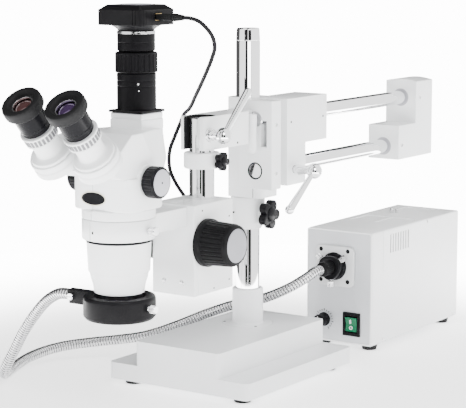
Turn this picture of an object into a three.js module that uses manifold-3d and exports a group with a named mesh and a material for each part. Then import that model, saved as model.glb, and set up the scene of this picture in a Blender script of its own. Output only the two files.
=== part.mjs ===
// Trinocular stereo microscope on a double-arm boom stand, with its camera, ring light, light guide and
// fibre-optic illuminator. Millimetres, +Z up, +X to the user's right, -Y towards the user.
// The assemblies are laid out round the main post, whose axis stands at X = 0, Y = 0 with the bench at Z = 0.
// At the end the whole object is moved so that its origin is the middle of its footprint, on the bench.
import * as THREE from 'three';
import { mergeVertices } from 'three/addons/utils/BufferGeometryUtils.js';
import Module from 'manifold-3d';

const wasm = await Module();
wasm.setup();

// ---------------------------------------------------------------- driving dimensions
const GAP = 0.3; // air between touching pieces
const RUN = 0.4; // radial clearance of a sliding or turning fit

const base = { midX: 9, front: -178, back: 77, width: 221, blockWidth: 133, bottom: 8, ledge: 30, top: 63 };
const foot = { radius: 12, inset: 24 };
const socket = { flange: 34.5, radius: 21, bottom: 57.3, floor: 60, top: 112 };
const post = { radius: 16, bore: 13, bottom: 60.3, shoulder: 447, top: 463 };
const collar = { radius: 23, bottom: 194, top: 237.4, knobZ: 215 };
const rod = { radius: 10, x: 41.5, upper: 347, lower: 279, front: -44, back: 390 };
const carriage = { left: -21, right: 67.5, seam: 16.5, front: -8, clampFront: -21, bottom: 257, clampBottom: 238 };
carriage.step = 311;
carriage.top = 372;
carriage.lowerBack = 38;
carriage.upperBack = 92;
const carriageStud = [11, 277];
const endBlock = { left: 16.5, right: 67.5, front: -45, back: -22, bottom: 255, top: 372 };
const rearBlock = { lowerFront: 295, upperFront: 346, back: 397, bottom: 260, step: 310, top: 375 };
const dropAxis = { x: 26, y: -144 };
const arm = { left: 7, right: 45, front: -165, back: -63, bottom: 317, top: 359.5, slot: 21 };
const armStud = [-154, 337];
const dropPost = { radius: 16, bottom: 170, top: 357 };
const housing = { halfWidth: 32.5, front: -54, back: 14, bottom: 139, top: 254 };
const plate = { front: -62.5, back: -54.3 };
const pinion = { y: -37, z: 205, radius: 6, shaft: 4 };
const optics = { x: 26, y: -316, z: 2 };
const ring = { bore: 40, radius: 44.3, bottom: 225.3, top: 250 };
const ocular = {
  halfSpacing: 31.7, y: -87, z: 337, lean: 40, pivotIn: 17.7, pivotUp: 27,
  tubeTop: 20, spigotTop: 36, cupBottom: 63, cupTop: 79.5,
};
const port = { y: 37, halfX: 24, halfY: 22, bottom: 350, top: 373 };
const lamp = { x: 44.75, y: 167, width: 106.5, depth: 264, bottom: 8, top: 171, sheet: 2 };
const rocker = { left: 12, right: 31, z: 37.5, half: 10.2 };
const lampSocket = { x: 40, z: 120, radius: 18 };

// ---------------------------------------------------------------- materials
const finish = (color, roughness, metalness) => new THREE.MeshStandardMaterial({ color, roughness, metalness });
const whitePaint = finish(0xe9ebeb, 0.45, 0);
const greyPaint = finish(0xc9cbce, 0.4, 0.2);
const chrome = finish(0xd8d8dc, 0.08, 1);
const steel = finish(0xa8a8ac, 0.35, 1);
const blackPlastic = finish(0x18181a, 0.45, 0);
const blackMetal = finish(0x1b1a1c, 0.35, 0.3);
const rubber = finish(0x121213, 0.8, 0);
const glass = finish(0x6a4a86, 0.05, 0);
const greenLens = finish(0x0d8a4c, 0.25, 0);
const greyCap = finish(0xa9a9b2, 0.5, 0);

// ---------------------------------------------------------------- solids
// A closed three.js geometry as a manifold solid, with its faces outwards.
function solid(geometry) {
  const bare = geometry.clone();
  bare.deleteAttribute('normal');
  bare.deleteAttribute('uv');
  const merged = mergeVertices(bare, 1e-4);
  const at = merged.attributes.position;
  const index = merged.index.array;
  const kept = [];
  let volume = 0;
  const [a, b, c] = [new THREE.Vector3(), new THREE.Vector3(), new THREE.Vector3()];
  for (let i = 0; i < index.length; i += 3) {
    const [p, q, r] = index.slice(i, i + 3);
    if (p === q || q === r || r === p) continue;
    kept.push(p, q, r);
    volume += a.fromBufferAttribute(at, p).dot(b.fromBufferAttribute(at, q).cross(c.fromBufferAttribute(at, r)));
  }
  if (volume < 0) kept.reverse();
  return new wasm.Manifold(
    new wasm.Mesh({ numProp: 3, vertProperties: new Float32Array(at.array), triVerts: new Uint32Array(kept) }),
  );
}

const join = (first, ...rest) => rest.reduce((whole, piece) => whole.add(piece), first);
const cut = (first, ...rest) => rest.reduce((whole, piece) => whole.subtract(piece), first);

// Turns a shape drawn in a plane, and raised along that plane's normal, to stand along X, Y or Z.
// Along X the drawing's sides are Y and Z, along Y they are X and Z, and along Z they are X and Y.
function stand(geometry, axis, from, to) {
  const [x, y, z] = [new THREE.Vector3(1, 0, 0), new THREE.Vector3(0, 1, 0), new THREE.Vector3(0, 0, 1)];
  const turn = new THREE.Matrix4();
  if (axis === 'x') turn.makeBasis(y, z, x).setPosition(from, 0, 0);
  if (axis === 'y') turn.makeBasis(x, z, y.negate()).setPosition(0, to, 0);
  if (axis === 'z') turn.setPosition(0, 0, from);
  return geometry.applyMatrix4(turn);
}

// A straight bar of any outline along an axis.
function bar(axis, from, to, outline) {
  const shape = outline instanceof THREE.Shape ? outline : new THREE.Shape(outline.map(([u, v]) => new THREE.Vector2(u, v)));
  const raised = new THREE.ExtrudeGeometry(shape, { depth: to - from, bevelEnabled: false, curveSegments: 4 });
  return solid(stand(raised, axis, from, to));
}

const box = (x, y, z) => bar('z', z[0], z[1], [[x[0], y[0]], [x[1], y[0]], [x[1], y[1]], [x[0], y[1]]]);

// A rectangle with round corners, between two values of each side.
function roundedRectangle([u0, u1], [v0, v1], radius) {
  const shape = new THREE.Shape();
  shape.moveTo(u0 + radius, v0);
  shape.lineTo(u1 - radius, v0);
  shape.absarc(u1 - radius, v0 + radius, radius, -Math.PI / 2, 0);
  shape.lineTo(u1, v1 - radius);
  shape.absarc(u1 - radius, v1 - radius, radius, 0, Math.PI / 2);
  shape.lineTo(u0 + radius, v1);
  shape.absarc(u0 + radius, v1 - radius, radius, Math.PI / 2, Math.PI);
  shape.lineTo(u0, v0 + radius);
  shape.absarc(u0 + radius, v0 + radius, radius, Math.PI, Math.PI * 1.5);
  return shape;
}

// A turned piece: a profile of [radius, distance along the axis] that starts and ends on the axis.
function turned(axis, [u, v], profile, sides = 20) {
  const closed = [[0, profile[0][1]], ...profile, [0, profile.at(-1)[1]]].map(([r, h]) => new THREE.Vector2(r, h));
  const body = new THREE.LatheGeometry(closed, sides).rotateX(Math.PI / 2);
  if (axis === 'x') body.rotateY(Math.PI / 2).translate(0, u, v);
  if (axis === 'y') body.rotateX(-Math.PI / 2).translate(u, 0, v);
  if (axis === 'z') body.translate(u, v, 0);
  return solid(body);
}

const cylinder = (axis, from, to, radius, middle, sides) => turned(axis, middle, [[radius, from], [radius, to]], sides);

// A ring or sleeve: an outer profile with a straight bore through it.
function sleeve(axis, middle, profile, bore, sides) {
  const [first, last] = [profile[0][1], profile.at(-1)[1]];
  return cut(turned(axis, middle, profile, sides), cylinder(axis, first - 1, last + 1, bore, middle, sides));
}

// A closed outline whose radius swells and falls a number of times round: knob lobes and ribs.
function wavy(middle, radius, depth, waves, steps) {
  return Array.from({ length: steps }, (_, i) => {
    const turn = (i / steps) * Math.PI * 2;
    const r = radius + depth * Math.cos(waves * turn);
    return [middle[0] + r * Math.cos(turn), middle[1] + r * Math.sin(turn)];
  });
}

// A round bar between any two points, thicker or thinner at its second end.
function rodBetween(from, to, radiusFrom, radiusTo, sides = 12) {
  const [a, b] = [new THREE.Vector3(...from), new THREE.Vector3(...to)];
  const along = b.clone().sub(a);
  const body = new THREE.CylinderGeometry(radiusTo, radiusFrom, along.length(), sides);
  const turn = new THREE.Quaternion().setFromUnitVectors(new THREE.Vector3(0, 1, 0), along.clone().normalize());
  body.applyQuaternion(turn).translate(...a.add(b).multiplyScalar(0.5).toArray());
  return solid(body);
}

const ball = (at, radius) => solid(new THREE.SphereGeometry(radius, 12, 8).translate(...at));

// The named mesh of one finished solid.
function part(name, material, whole) {
  const { numProp, vertProperties, triVerts } = whole.getMesh();
  const at = new Float32Array((vertProperties.length / numProp) * 3);
  for (let i = 0; i < at.length / 3; i += 1) at.set(vertProperties.subarray(i * numProp, i * numProp + 3), i * 3);
  const geometry = new THREE.BufferGeometry();
  geometry.setAttribute('position', new THREE.BufferAttribute(at, 3));
  geometry.setIndex([...triVerts]);
  geometry.computeVertexNormals();
  const mesh = new THREE.Mesh(geometry, material);
  mesh.name = name;
  return mesh;
}

function group(position, ...children) {
  const made = new THREE.Group();
  made.position.set(...position);
  made.add(...children);
  return made;
}

// ---------------------------------------------------------------- boom stand: base, post and collar
function standBase() {
  const half = base.width / 2;
  const halfBlock = base.blockWidth / 2;
  const depth = [base.front, base.back];
  const ledge = bar('z', base.bottom, base.ledge, roundedRectangle([base.midX - half, base.midX + half], depth, 9));
  const block = bar('z', base.bottom, base.top, roundedRectangle([base.midX - halfBlock, base.midX + halfBlock], depth, 7));
  const recess = cylinder('z', socket.bottom - GAP, base.top + 1, socket.flange + GAP, [0, 0]);
  return part('stand_base', whitePaint, cut(join(ledge, block), recess));
}

function baseFeet() {
  const xs = [base.midX - base.width / 2 + foot.inset, base.midX + base.width / 2 - foot.inset];
  const ys = [base.front + foot.inset, base.back - foot.inset];
  const places = ys.flatMap((y) => xs.map((x) => [x, y]));
  return places.map((at, i) => {
    const pad = turned('z', at, [[foot.radius - 1.5, 0], [foot.radius, 1.5], [foot.radius, base.bottom - GAP]], 16);
    return part(`base_foot_${i + 1}`, rubber, pad);
  });
}

function postSocket() {
  const outside = [
    [socket.flange, socket.bottom], [socket.flange, base.top + 0.4], [socket.radius, base.top + 0.4],
    [socket.radius, socket.top - 2], [socket.radius - 1.5, socket.top],
  ];
  const bore = cylinder('z', socket.floor, socket.top + 1, post.radius + GAP, [0, 0]);
  return part('post_socket', whitePaint, cut(turned('z', [0, 0], outside), bore));
}

function mainPost() {
  const tube = sleeve('z', [0, 0], [[post.radius, post.bottom], [post.radius, post.shoulder - GAP]], post.bore);
  return part('main_post', chrome, tube);
}

function postCap() {
  const plug = [
    [post.bore - GAP, post.shoulder - 16], [post.bore - GAP, post.shoulder], [post.radius, post.shoulder],
    [post.radius - 0.6, post.top - 1.5], [post.radius - 2, post.top],
  ];
  return part('post_cap', chrome, turned('z', [0, 0], plug));
}

function safetyCollar() {
  const outside = [[19, collar.bottom], [collar.radius, collar.bottom + 9], [collar.radius, collar.top]];
  const boss = cylinder('x', 18, 26.5, 8, [0, collar.knobZ], 16);
  const threads = cylinder('x', 14, 28, 4 + GAP, [0, collar.knobZ], 16);
  const bore = cylinder('z', collar.bottom - 1, collar.top + 1, post.radius + RUN, [0, 0]);
  return part('safety_collar', whitePaint, cut(join(turned('z', [0, 0], outside), boss), threads, bore));
}

// A star knob on a screw that points along X: the screw's tip, the knob's inner face and its outer face.
function starKnob(name, axisYZ, tip, inner, outer, radius, lobes) {
  const screw = cylinder('x', tip, inner + 2, 4, axisYZ, 16);
  const hub = cylinder('x', inner, outer, radius * 0.5, axisYZ, 16);
  const star = bar('x', inner + 2, outer - 1.5, wavy(axisYZ, radius * 0.83, radius * 0.17, lobes, 30));
  return part(name, blackPlastic, join(screw, hub, star));
}

// ---------------------------------------------------------------- carriage on the post
function carriageBlock() {
  const side = [carriage.seam, carriage.right];
  const lower = box(side, [carriage.front, carriage.lowerBack], [carriage.bottom, carriage.step + 1]);
  const upper = box(side, [carriage.front, carriage.upperBack], [carriage.step, carriage.top]);
  const clampOutline = roundedRectangle([carriage.left, 34], [carriage.clampFront, 24], 7);
  const clamp = bar('z', carriage.clampBottom, carriage.top, clampOutline);
  const postBore = cylinder('z', carriage.clampBottom - 1, carriage.top + 1, post.radius + RUN, [0, 0]);
  const rodBores = [rod.upper, rod.lower].map((z) => cylinder('y', -30, 100, rod.radius + RUN, [rod.x, z]));
  const slit = box([21, 22.6], [carriage.clampFront - 1, -8], [carriage.clampBottom - 1, carriage.bottom + 8]);
  const studHole = cylinder('x', carriage.right - 12, carriage.right + 1, 5 + GAP, carriageStud, 16);
  return part('carriage', whitePaint, cut(join(lower, upper, clamp), postBore, ...rodBores, slit, studHole));
}

// A clamping lever that turns on a stud along X: the stud's [Y, Z], its inner end, the face that it leaves,
// the middle of its ball hub and the end of its handle.
function clampLever(name, studYZ, inner, face, hubX, tip) {
  const onStud = (x) => [x, ...studYZ];
  const screw = rodBetween(onStud(inner), onStud(face + 9), 5, 5);
  const neck = rodBetween(onStud(face + 4), onStud(hubX), 7, 6);
  const handle = rodBetween(onStud(hubX), tip, 3.4, 5.2, 10);
  return part(name, chrome, join(screw, neck, ball(onStud(hubX), 10.5), handle, ball(tip, 6.2)));
}

// ---------------------------------------------------------------- boom: two rods, end blocks and drop arm
function boomRod(name, z, back) {
  return part(name, chrome, cylinder('y', rod.front, back, rod.radius, [rod.x, z], 20));
}

function frontEndBlock() {
  const block = box([endBlock.left, endBlock.right], [endBlock.front, endBlock.back], [endBlock.bottom, endBlock.top]);
  const holes = [rod.upper, rod.lower].map((z) => cylinder('y', -46, -20, rod.radius + GAP, [rod.x, z]));
  const notch = box([54, 70], [endBlock.front - 1, -33], [312, 356]);
  return part('front_end_block', whitePaint, cut(block, ...holes, notch));
}

function rearEndBlock() {
  const side = [endBlock.left, endBlock.right];
  const lower = box(side, [rearBlock.lowerFront, rearBlock.back], [rearBlock.bottom, rearBlock.step]);
  const upper = box(side, [rearBlock.upperFront, rearBlock.back], [rearBlock.step - 1, rearBlock.top]);
  const holes = [rod.upper, rod.lower].map((z) => cylinder('y', 280, rod.back + GAP, rod.radius + GAP, [rod.x, z]));
  return part('rear_end_block', whitePaint, cut(join(lower, upper), ...holes));
}

function dropArm() {
  const height = [arm.bottom, arm.top];
  const bulk = bar('z', ...height, roundedRectangle([arm.left, arm.right], [arm.front, arm.back], 4));
  const neck = box([arm.left, 37], [arm.back - 5, endBlock.front - GAP], height);
  const rib = turned('z', [43, -54], [[5, 303], [6, 307], [6, 354]], 16);
  const bridge = box([34, 44], [-58, -51], [arm.bottom + 3, 350]);
  const bore = cylinder('z', 290, 380, dropPost.radius + RUN, [dropAxis.x, dropAxis.y]);
  const slot = box([dropAxis.x - arm.slot / 2, dropAxis.x + arm.slot / 2], [arm.front - 1, dropAxis.y], [300, 380]);
  const studHole = cylinder('x', arm.right - 5, arm.right + 1, 5 + GAP, armStud, 12);
  return part('drop_arm', whitePaint, cut(join(bulk, neck, rib, bridge), bore, slot, studHole));
}

// ---------------------------------------------------------------- drop post and focus mount, round the drop post
function dropPostBar() {
  return part('drop_post', chrome, cylinder('z', dropPost.bottom, dropPost.top, dropPost.radius, [0, 0]));
}

function dropCollar() {
  const outside = [[22, 293], [23, 295], [23, 311], [22, 313]];
  const body = sleeve('z', [0, 0], outside, dropPost.radius + GAP);
  const threads = cylinder('x', 10, 30, 4 + GAP, [0, 303], 16);
  return part('drop_collar', whitePaint, cut(body, threads));
}

function focusHousing() {
  const outline = roundedRectangle([-housing.halfWidth, housing.halfWidth], [housing.front, housing.back + 10], 3);
  const body = bar('z', housing.bottom, housing.top, outline);
  const bore = cylinder('z', dropPost.bottom - 2, housing.top + 1, dropPost.radius + RUN, [0, 0]);
  const slide = box([-8, 8], [housing.front - 1, pinion.y + pinion.radius + 1], [housing.bottom - 1, housing.top + 1]);
  const axle = cylinder('x', -40, 40, pinion.shaft + RUN, [pinion.y, pinion.z], 16);
  return part('focus_housing', whitePaint, cut(body, bore, slide, axle));
}

// Both focus knobs and the pinion turn as one on their shaft.
function focusKnobs() {
  const middle = [pinion.y, pinion.z];
  const side = housing.halfWidth;
  const shaft = cylinder('x', -side - 8, side + 8, pinion.shaft, middle, 16);
  const roller = cylinder('x', -6.5, 6.5, pinion.radius, middle, 16);
  const knob = [[30.5, side + 0.6], [30.5, side + 7], [28.5, side + 9], [26.5, side + 44], [24.5, side + 47]];
  const right = turned('x', middle, knob, 20);
  const left = turned('x', middle, knob.map(([r, x]) => [r, -x]).reverse(), 20);
  return part('focus_knobs', blackPlastic, join(shaft, roller, right, left));
}

function focusRack() {
  const back = pinion.y - pinion.radius - RUN;
  const rail = box([-7, 7], [plate.back - 0.1, back], [housing.bottom + 4, housing.top - 4]);
  const face = box([-housing.halfWidth, housing.halfWidth], [plate.front, plate.back], [housing.bottom, housing.top]);
  return part('focus_rack_plate', whitePaint, join(rail, face));
}

// ---------------------------------------------------------------- head, round the optical axis
function headHolder() {
  const band = [[ring.radius, ring.bottom], [ring.radius, ring.top]];
  const plateFace = dropAxis.y + plate.front - GAP - optics.y;
  const bracket = box([-22, 22], [ring.bore, plateFace], [ring.bottom, ring.top]);
  const bore = cylinder('z', ring.bottom - 1, ring.top + 1, ring.bore, [0, 0], 24);
  const threads = cylinder('x', 30, 50, 3 + GAP, [0, 237], 12);
  const solidRing = turned('z', [0, 0], band, 24);
  return part('head_holder', whitePaint, cut(join(solidRing, bracket), bore, threads));
}

// A small thumbscrew along X: its tip, its head and its radius.
function thumbscrew(name, material, axisYZ, tip, head, end, radius) {
  const profile = [[3, tip], [3, head], [radius, head], [radius, end]];
  return part(name, material, turned('x', axisYZ, profile, 16));
}

function zoomBody() {
  const nose = turned('z', [0, 0], [
    [28, 159], [30.5, 159], [33, 168], [35.5, 180], [37.5, 186], [39, 224], [39.5, 226], [39.5, 250.3],
    [ring.radius, 250.3], [ring.radius, 262.5],
  ], 24);
  const shell = bar('z', 262, 302, roundedRectangle([-46, 46], [-40, 40], 26));
  const axle = cylinder('x', -60, 60, 4 + RUN, [0, 296], 16);
  const lensSeat = cylinder('z', 158, 166, 26, [0, 0]);
  return part('zoom_body', whitePaint, cut(join(nose, shell), axle, lensSeat));
}

function objectiveLens() {
  const dome = [[25.5, 160.5], [25.5, 165.5]];
  return part('objective_lens', glass, turned('z', [0, 0], [[14, 159.5], ...dome]));
}

// Both zoom knobs turn as one on the shaft through the body.
function zoomKnobs() {
  const middle = [0, 296];
  const knob = [[10, 46.6], [10, 49], [18.5, 49.4], [19, 51], [19, 63], [17.5, 65]];
  const shaft = cylinder('x', -48, 48, 4, middle, 16);
  const right = turned('x', middle, knob);
  const left = turned('x', middle, knob.map(([r, x]) => [r, -x]).reverse());
  return part('zoom_knobs', blackPlastic, join(shaft, right, left));
}

// The casting over the zoom body: a slope to the front for the eyepieces and a flat top for the camera port.
function trinocularBlock() {
  const lean = THREE.MathUtils.degToRad(ocular.lean);
  const slope = (distance, lift) => [
    ocular.y + distance * Math.cos(lean) - lift * Math.sin(lean),
    ocular.z + distance * Math.sin(lean) + lift * Math.cos(lean),
  ];
  const outline = [
    [-50, 302.6], [40, 302.6], [58, 318], [60, 356], [-2, 356], slope(56, -24.6), slope(-8, -24.6),
  ];
  const sides = [port.y - port.halfY, port.y + port.halfY];
  const riser = box([-port.halfX, port.halfX], sides, [port.bottom, port.top]);
  return part('trinocular_block', whitePaint, join(bar('x', -44, 44, outline), riser));
}

function photoTube() {
  const square = box([-25, 25], [port.y - 23, port.y + 23], [port.top + GAP, port.top + 3.5]);
  const tube = turned('z', [0, port.y], [[23.6, port.top + 3], [23.6, 420], [17, 420], [17, 446], [22, 446], [22, 470.5]]);
  return part('photo_tube', blackMetal, join(square, tube));
}

function photoFocusRing() {
  const ringBody = sleeve('z', [0, port.y], [[25, 420.6], [25.6, 422], [25.6, 443], [24, 445.4]], 17 + RUN, 20);
  return part('photo_focus_ring', blackMetal, ringBody);
}

function cameraBody() {
  const shell = bar('z', 477, 497, roundedRectangle([-33.5, 33.5], [port.y - 33.5, port.y + 33.5], 5));
  const crown = turned('z', [0, 0], [[34, 496], [31, 499.5], [26, 502.5]], 8).rotate([0, 0, 22.5]);
  const stem = turned('z', [0, port.y], [[22, 470.9], [25, 472], [33, 478]], 24);
  const usbWell = box([30, 35], [port.y - 7, port.y + 7], [483, 492]);
  return part('camera', blackMetal, cut(join(shell, crown.translate([0, port.y, 0]), stem), usbWell));
}

function cameraPlug() {
  const body = box([30.6, 55], [port.y - 6, port.y + 6], [484, 491]);
  const relief = turned('x', [port.y, 487.5], [[4.2, 54], [3.2, 70]], 16);
  return part('camera_plug', blackPlastic, join(body, relief));
}

// One eyepiece assembly: x is the tube's side of the optical axis, +1 right or -1 left, and z runs up the tube.
function prismHousing(name, side) {
  const [px, py] = [-side * ocular.pivotIn, ocular.pivotUp];
  const outer = cylinder('z', -24, -GAP, 28, [0, 0], 20);
  const hinge = cylinder('z', -24, -GAP, 13.6, [px, py], 16);
  const web = bar('z', -24, -GAP, [[-side * 27, -8], [side * 27.6, 4], [px + side * 12, py + 6], [px - side * 12.6, py]]);
  const inside = side * -1 * (ocular.halfSpacing - 0.5);
  const trim = side > 0 ? box([inside - 20, inside], [-60, 70], [-30, 1]) : box([inside, inside + 20], [-60, 70], [-30, 1]);
  const tube = cylinder('z', -1, ocular.tubeTop, 16.5, [0, 0]);
  const spigot = cylinder('z', ocular.tubeTop - 1, ocular.spigotTop, 14.5, [0, 0]);
  return part(name, whitePaint, cut(join(outer, hinge, web, tube, spigot), trim));
}

function dioptreRing(name) {
  const [low, high] = [ocular.tubeTop + 0.4, ocular.spigotTop - 0.4];
  const profile = [[17.5, low], [20, low + 1.6], [20.5, high - 2.6], [21.5, high]];
  return part(name, whitePaint, sleeve('z', [0, 0], profile, 14.5 + RUN, 24));
}

function eyepiece(name) {
  const { spigotTop, cupBottom, cupTop } = ocular;
  const barrel = [[17.5, spigotTop + 0.4], [18.5, spigotTop + 4], [18.5, cupBottom]];
  const outside = [...barrel, [24.5, cupBottom + 4], [24.5, cupTop - 2], [23, cupTop]];
  const well = turned('z', [0, 0], [[13, cupTop - 8.5], [15, cupTop + 0.5], [15, cupTop + 1.5]]);
  return part(name, rubber, cut(turned('z', [0, 0], outside, 20), well));
}

function eyeLens(name) {
  const top = ocular.cupTop - 4.5;
  return part(name, glass, turned('z', [0, 0], [[12.6, top - 3.6], [12.6, top - 2.6], [9, top - 1], [4, top]], 24));
}

function ocularSet(side, word) {
  const set = group(
    [side * ocular.halfSpacing, ocular.y, ocular.z],
    prismHousing(`${word}_prism_housing`, side),
    dioptreRing(`${word}_dioptre_ring`),
    eyepiece(`${word}_eyepiece`),
    eyeLens(`${word}_eye_lens`),
  );
  set.rotation.x = THREE.MathUtils.degToRad(ocular.lean);
  return set;
}

function ringLight() {
  const outside = [[36, 126], [41, 128], [44, 133], [44, 151], [42, 155]];
  const body = sleeve('z', [0, 0], outside, 31.6, 24);
  const threads = cylinder('x', 28, 46, 3 + GAP, [0, 143], 12);
  const neck = turned('x', [16, 143], [[8.4, -88], [8.8, -84], [8.8, -36]], 24);
  return part('ring_light', blackMetal, cut(join(body, neck), threads));
}

// ---------------------------------------------------------------- illuminator, round the middle of its front
const lampHalf = lamp.width / 2;

function lampCover() {
  const outer = box([-lampHalf, lampHalf], [2.3, lamp.depth], [lamp.bottom + 1, lamp.top]);
  const inner = box([-lampHalf + lamp.sheet, lampHalf - lamp.sheet], [0, lamp.depth + 1], [lamp.bottom, lamp.top - lamp.sheet]);
  const vents = Array.from({ length: 8 }, (_, i) => {
    const y = 52 + i * 9;
    return box([-lampHalf - 1, lampHalf + 1], [y, y + 4], [130, 160]);
  });
  return part('illuminator_cover', whitePaint, cut(outer, inner, ...vents));
}

function lampChassis() {
  const half = lampHalf - lamp.sheet - GAP;
  const back = lamp.depth - GAP;
  const tray = box([-half, half], [2.3, back], [lamp.bottom, lamp.bottom + 3]);
  const rear = box([-half, half], [back - 3, back], [lamp.bottom + 2, lamp.top - lamp.sheet - GAP]);
  const feet = [-38, 38].flatMap((x) => [22, lamp.depth - 24].map((y) => turned('z', [x, y], [[8, 0], [10.5, lamp.bottom + 1]], 16)));
  const inlet = box([-15, 15], [back - 4, back + 1], [27, 53]);
  return part('illuminator_chassis', steel, cut(join(tray, rear, ...feet), inlet));
}

function lampPanel() {
  const sheet = box([-lampHalf, lampHalf], [0, 2], [lamp.bottom + 1, lamp.top]);
  const socketHole = cylinder('y', -1, 3, 13, [lampSocket.x - lamp.x, lampSocket.z]);
  const dialHole = cylinder('y', -1, 3, 3.6, [-24, 40], 16);
  const rim = box([7.5, 35.5], [-2.4, 1], [20.5, 54.5]);
  const can = box([9.4, 33.6], [-1, 22], [23.4, 51.6]);
  const well = box([11.4, 31.6], [-3, 18], [25.4, 49.6]);
  return part('illuminator_front_panel', greyPaint, cut(join(sheet, rim, can), socketHole, dialHole, well));
}

// The socket that the light guide plugs into: a rounded plate with a ring standing on it.
function lampSocketBlock() {
  const at = [lampSocket.x - lamp.x, lampSocket.z];
  const slab = bar('y', -6, -GAP, roundedRectangle([at[0] - 31, at[0] + 31], [91, 149], 9));
  const collarRing = turned('y', at, [[lampSocket.radius, -21], [lampSocket.radius, -12], [20, -5]]);
  const bore = cylinder('y', -22, 1, 9.6, at);
  const threads = cylinder('z', 90, lampSocket.z, 3 + GAP, [at[0], -15], 12);
  return part('guide_socket', blackPlastic, cut(join(slab, collarRing), bore, threads));
}

function guideFerrule() {
  const at = [lampSocket.x - lamp.x, lampSocket.z];
  const outside = [[7.3, -44], [10.5, -40], [10.5, -22], [9.2, -21.5], [9.2, 22]];
  return part('guide_ferrule', blackPlastic, turned('y', at, outside, 24));
}

function socketScrew() {
  const x = lampSocket.x - lamp.x;
  const profile = [[4.6, 92], [4.6, 100.5], [3, 100.5], [3, 109]];
  return part('guide_lock_screw', steel, turned('z', [x, -15], profile, 16));
}

function intensityDial() {
  const profile = [[8, -19], [8.6, -17.5], [8.6, -3], [10, -1], [10, -0.4], [3.2, -0.4], [3.2, 12]];
  return part('intensity_dial', blackPlastic, turned('y', [-24, 40], profile, 24));
}

// The rocker turns on a pin along X, in the middle of its frame.
function powerRocker() {
  const { z, half } = rocker;
  const outline = [[-2.2, z - half], [-4.6, z + half], [6, z + half - 1.5], [9, z], [6, z - half + 1.5]];
  return part('power_rocker', greenLens, bar('x', rocker.left, rocker.right, outline));
}

function lampModule() {
  const at = [lampSocket.x - lamp.x, lampSocket.z];
  const reflector = [[6, 90], [12, 88], [25, 62], [25, 60], [23, 60], [11, 84], [4, 86]].reverse();
  const bulb = cylinder('y', 66, 88, 5, at, 16);
  const shell = turned('y', at, reflector, 20);
  const stem = box([at[0] - 8, at[0] + 8], [89, 98], [lamp.bottom + 3.3, at[1] + 6]);
  return part('halogen_lamp', steel, join(shell, bulb, stem));
}

function transformer() {
  const core = box([-30, 30], [150, 205], [lamp.bottom + 3.3, 66]);
  const winding = box([-20, 20], [140, 215], [20, 56]);
  return part('transformer', blackMetal, join(core, winding));
}

function coolingFan() {
  const back = lamp.depth - 3.6;
  const frame = box([-36, 36], [back - 25, back - 0.4], [76, 148]);
  const duct = cylinder('y', back - 30, back + 2, 33, [0, 112], 20);
  const hub = cylinder('y', back - 22, back - 3, 14, [0, 112], 16);
  const spokes = [box([-35, 35], [back - 6, back - 3], [109, 115]), box([-3, 3], [back - 6, back - 3], [77, 147])];
  return part('cooling_fan', blackPlastic, join(cut(frame, duct), hub, ...spokes));
}

function powerInlet() {
  const back = lamp.depth - GAP;
  const flange = box([-17, 17], [back + GAP, back + 2.4], [25, 55]);
  const can = box([-14.6, 14.6], [back - 22, back + 1], [27.4, 52.6]);
  const cavity = box([-12, 12], [back - 18, back + 5], [31, 49]);
  return part('power_inlet', blackPlastic, cut(join(flange, can), cavity));
}

// ---------------------------------------------------------------- cords
// A round cord of equal sides along a smooth curve through its points.
function cord(name, material, points, radius, sides, steps) {
  const route = new THREE.CatmullRomCurve3(points.map((p) => new THREE.Vector3(...p)), false, 'centripetal');
  const section = new THREE.Shape(wavy([0, 0], radius, 0, 1, sides).map(([u, v]) => new THREE.Vector2(u, v)));
  return part(name, material, solid(new THREE.ExtrudeGeometry(section, { steps, extrudePath: route, bevelEnabled: false })));
}

const guideRoute = [
  [40, 122.4, 120], [40, 110, 120], [35, 93, 113], [22, 76, 102], [0, 64, 90], [-26, 57, 80],
  [-56, 46, 72], [-88, 25, 59], [-120, -4, 43], [-150, -32, 31], [-182, -52, 25], [-214, -74, 21],
  [-238, -100, 18], [-250, -130, 15], [-252, -162, 12], [-246, -194, 9], [-234, -224, 8], [-218, -252, 12],
  [-200, -270, 26], [-181, -276, 50], [-158, -282, 80], [-132, -289, 108], [-104, -296, 132],
  [-82, -299.5, 143.5], [-72, -300, 145], [-62.6, -300, 145],
];

const cableRoute = [
  [96.5, -279, 489.5], [106, -279, 489], [115, -276, 486], [121, -270, 479], [125, -262, 468], [123, -254, 455],
  [111, -243, 440], [86, -222, 417], [48, -188, 388.5], [15, -156, 368], [2, -149, 360], [-5.5, -147, 348], [-12, -149, 332],
  [-20, -150, 312], [-24.5, -144, 288], [-23, -133, 268], [-21, -121, 253], [-19.5, -108, 238], [-21, -86, 214],
  [-26, -50, 196], [-26, -20, 184], [-23, 6, 170], [-16, 22, 148], [-12, 27, 118], [-14, 29, 90], [-18, 35, 73],
  [-26, 49, 66.8], [-36, 65, 66.6], [-42, 80, 67.2], [-49, 90, 50], [-56, 96, 28], [-62, 104, 9], [-66, 114, 3.2],
  [-64, 124, 3.1], [-56, 129.6, 3.1],
];

const coil = { x: -60, y: 165.6, inner: 22, outer: 33, height: 10.6 };

function cableCoil() {
  const ringBody = sleeve('z', [coil.x, coil.y], [[coil.outer, GAP], [coil.outer, coil.height]], coil.inner, 24);
  return part('camera_cable_coil', rubber, ringBody);
}

function usbPlug() {
  const grip = box([coil.x - 28, coil.x + 2], [coil.y - 8, coil.y + 8], [coil.height + GAP, coil.height + 9]);
  const tongue = box([coil.x + 1, coil.x + 15], [coil.y - 6, coil.y + 6], [coil.height + 2, coil.height + 6.5]);
  return part('usb_plug', blackPlastic, join(grip, tongue));
}

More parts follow.
